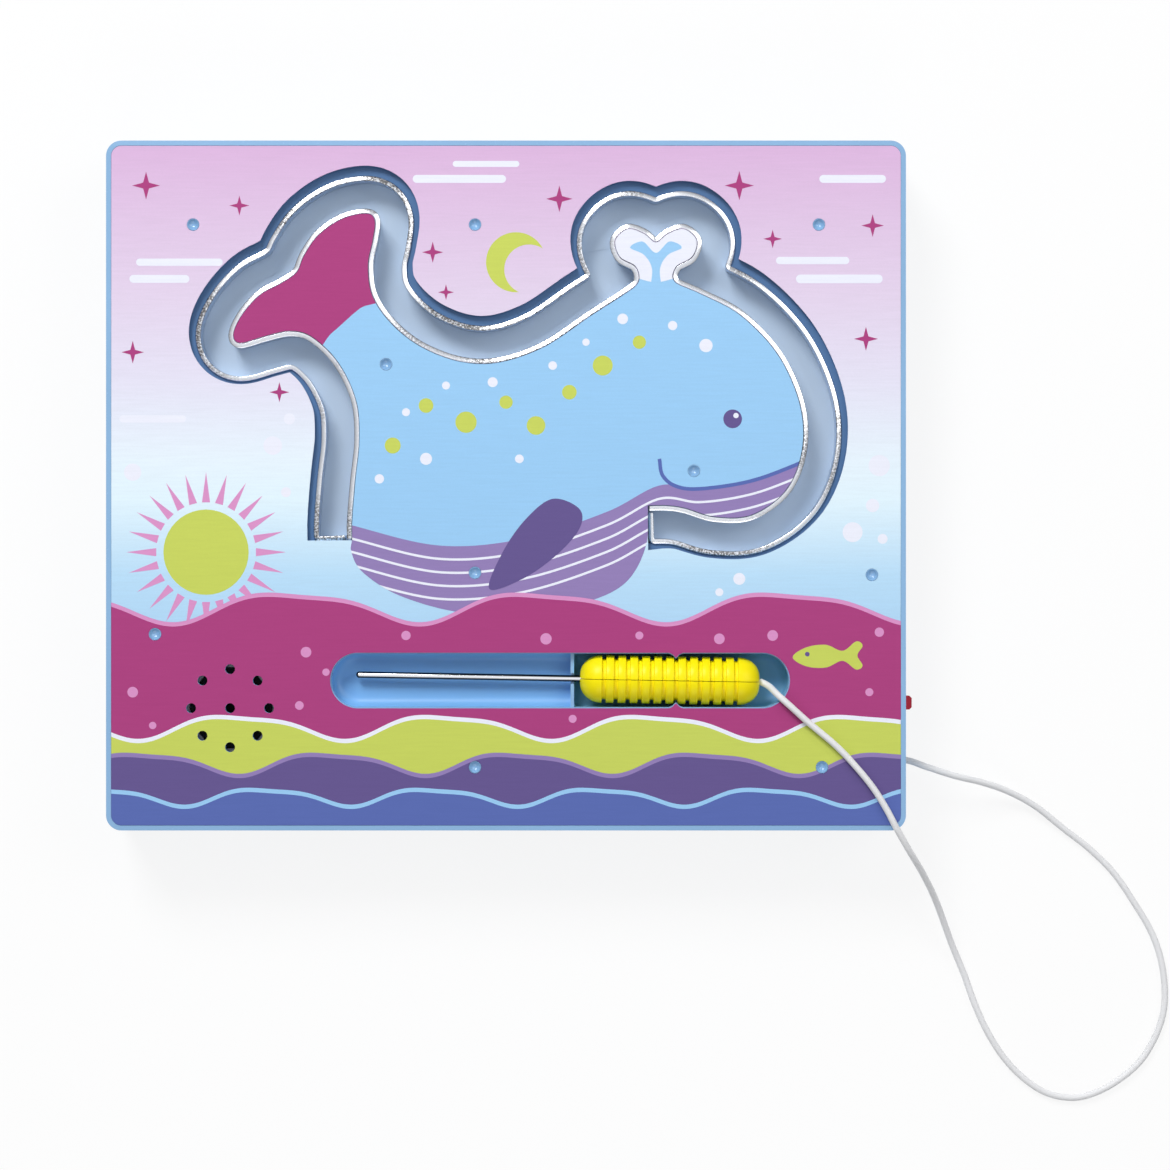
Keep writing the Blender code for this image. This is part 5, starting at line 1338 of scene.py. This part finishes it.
def crest(base, height, length, phase):
    """A wave's upper edge across the sheet, in millimetres."""
    across = np.linspace(-SEA_SIDE, SEA_SIDE, WAVE_STEPS)
    turn = 2 * math.pi * (across / length + phase)
    swell = np.sin(turn) + RIPPLE_SHARE * np.sin(2 * turn + RIPPLE_PHASE)
    return np.stack((across, base + height * swell), axis=1) * MM


def below(run):
    """The outline from a run down past the sheet's lower edge."""
    return tuples(run) + mm(((SEA_SIDE, SEA_BOTTOM), (-SEA_SIDE, SEA_BOTTOM)))


def moon(x, y, size, turn):
    """A crescent outline, in millimetres."""
    inner_x, inner_size = MOON_INNER_PLACE * size, MOON_INNER_SIZE * size
    meet_x = (inner_x ** 2 + size ** 2 - inner_size ** 2) / (2 * inner_x)
    meet_y = math.sqrt(size ** 2 - meet_x ** 2)
    first = math.atan2(meet_y, meet_x)
    second = math.atan2(meet_y, meet_x - inner_x)
    loop = arc((0.0, 0.0), size, first, 2 * math.pi - first, DOT_STEPS)
    loop += arc((inner_x, 0.0), inner_size, -second, second - 2 * math.pi, DOT_STEPS)[1:-1]
    cos, sin = math.cos(turn), math.sin(turn)
    return mm([(x + a * cos - b * sin, y + a * sin + b * cos) for a, b in loop])


def sun_rays(x, y, near, far):
    """Pointed rays round a place, in millimetres."""
    loops = []
    wide = math.pi / RAY_COUNT * RAY_WIDTH
    for n in range(RAY_COUNT):
        angle = 2 * math.pi * n / RAY_COUNT
        loops.append(mm([
            (x + reach * math.cos(angle + side), y + reach * math.sin(angle + side))
            for reach, side in ((near, -wide), (far, 0.0), (near, wide))
        ]))
    return loops


def bars(places):
    """Level bars with round ends, from middles, lengths and thicknesses in millimetres."""
    loops = []
    for x, y, length, thick in places:
        reach = (length - thick) / 2
        loop = arc((x + reach, y), thick / 2, -math.pi / 2, math.pi / 2, BAR_STEPS)
        loop += arc((x - reach, y), thick / 2, math.pi / 2, 3 * math.pi / 2, BAR_STEPS)
        loops.append(mm(loop))
    return loops


def build_print():
    """The printed sheet and the layers of its picture: a whale between sea and sky."""
    sheet = prism(SHEET, SHEET_BOTTOM, SHEET_TOP)
    finish_piece(sheet, "print_sheet", "case", "printed_film", "printed_sheet")
    under = run_of(BELLY_CURVE)
    body = tuples(np.vstack((EDGE_PATH, under[1:-1])))
    pale = tint("pale", PALE_INK, PALE_DEEPENS)
    inks = {name: tint(name, steps, INK_DEEPENS) for name, steps in INKS.items()}
    magenta, lime, purple, lilac, rose, light_blue, deep_blue = inks.values()
    ink("ink_sun_rays", sun_rays(*SUN), 0, rose)
    ink("ink_sun", dots((SUN_DISC,)), 0, lime)
    ink("ink_moon", [moon(*MOON)], 0, lime)
    ink("ink_mist", bars(MIST), 0, pale)
    ink("ink_sparkles", sparkles(SPARKLES), 0, magenta)
    ink("ink_bubbles", dots(BUBBLES), 0, pale)
    ink("ink_body", [body], 0, light_blue)
    ink("ink_flukes", [blob(FLUKES)], 1, magenta, body)
    ink("ink_spout", [blob(SPOUT)], 1, pale, body)
    jaw = run_of(JAW_LINE)
    ink("ink_belly", [below(jaw)], 1, lilac, body)
    pleats = [line_loop(jaw + (0.0, -drop * MM), PLEAT_WIDTH) for drop in PLEAT_DROPS]
    ink("ink_pleats", pleats, 2, pale, body)
    ink("ink_mouth", [line_loop(run_of(MOUTH_LINE), MOUTH_WIDTH)], 2, deep_blue, body)
    ink("ink_back_dots", dots(BACK_DOTS), 1, lime, body)
    ink("ink_back_spots", dots(BACK_SPOTS), 1, pale, body)
    ink("ink_jet", [blob(JET)], 2, light_blue, body)
    ink("ink_eye", dots((EYE,)), 2, purple, body)
    ink("ink_glint", dots((GLINT,)), 3, pale, body)
    ink("ink_fin", [blob(FIN)], 3, purple, body)
    pairs = ((magenta, rose), (lime, pale), (purple, lilac), (deep_blue, light_blue))
    for n, (wave, (material, edge)) in enumerate(zip(WAVES, pairs)):
        run = crest(*wave)
        level = 4 + 2 * n
        ink(f"ink_wave_{n + 1}", [below(run)], level, material)
        ink(f"ink_foam_{n + 1}", [band_loop(run + (0.0, FOAM_RISE), run)], level, edge)
    ink("ink_sea_dots", dots(SEA_DOTS), 5, rose)
    ink("ink_fish", [blob(FISH)], 5, lime)
    ink("ink_fish_eye", dots((FISH_EYE,)), 6, purple)


SHEET = sheet_loops()
finish_nodes()
set_camera()
build_cord()
build_cover()
build_floor()
build_strips()
build_stylus()
build_screws()
soften_nodes()
build_print()
set_stage()
set_surround()
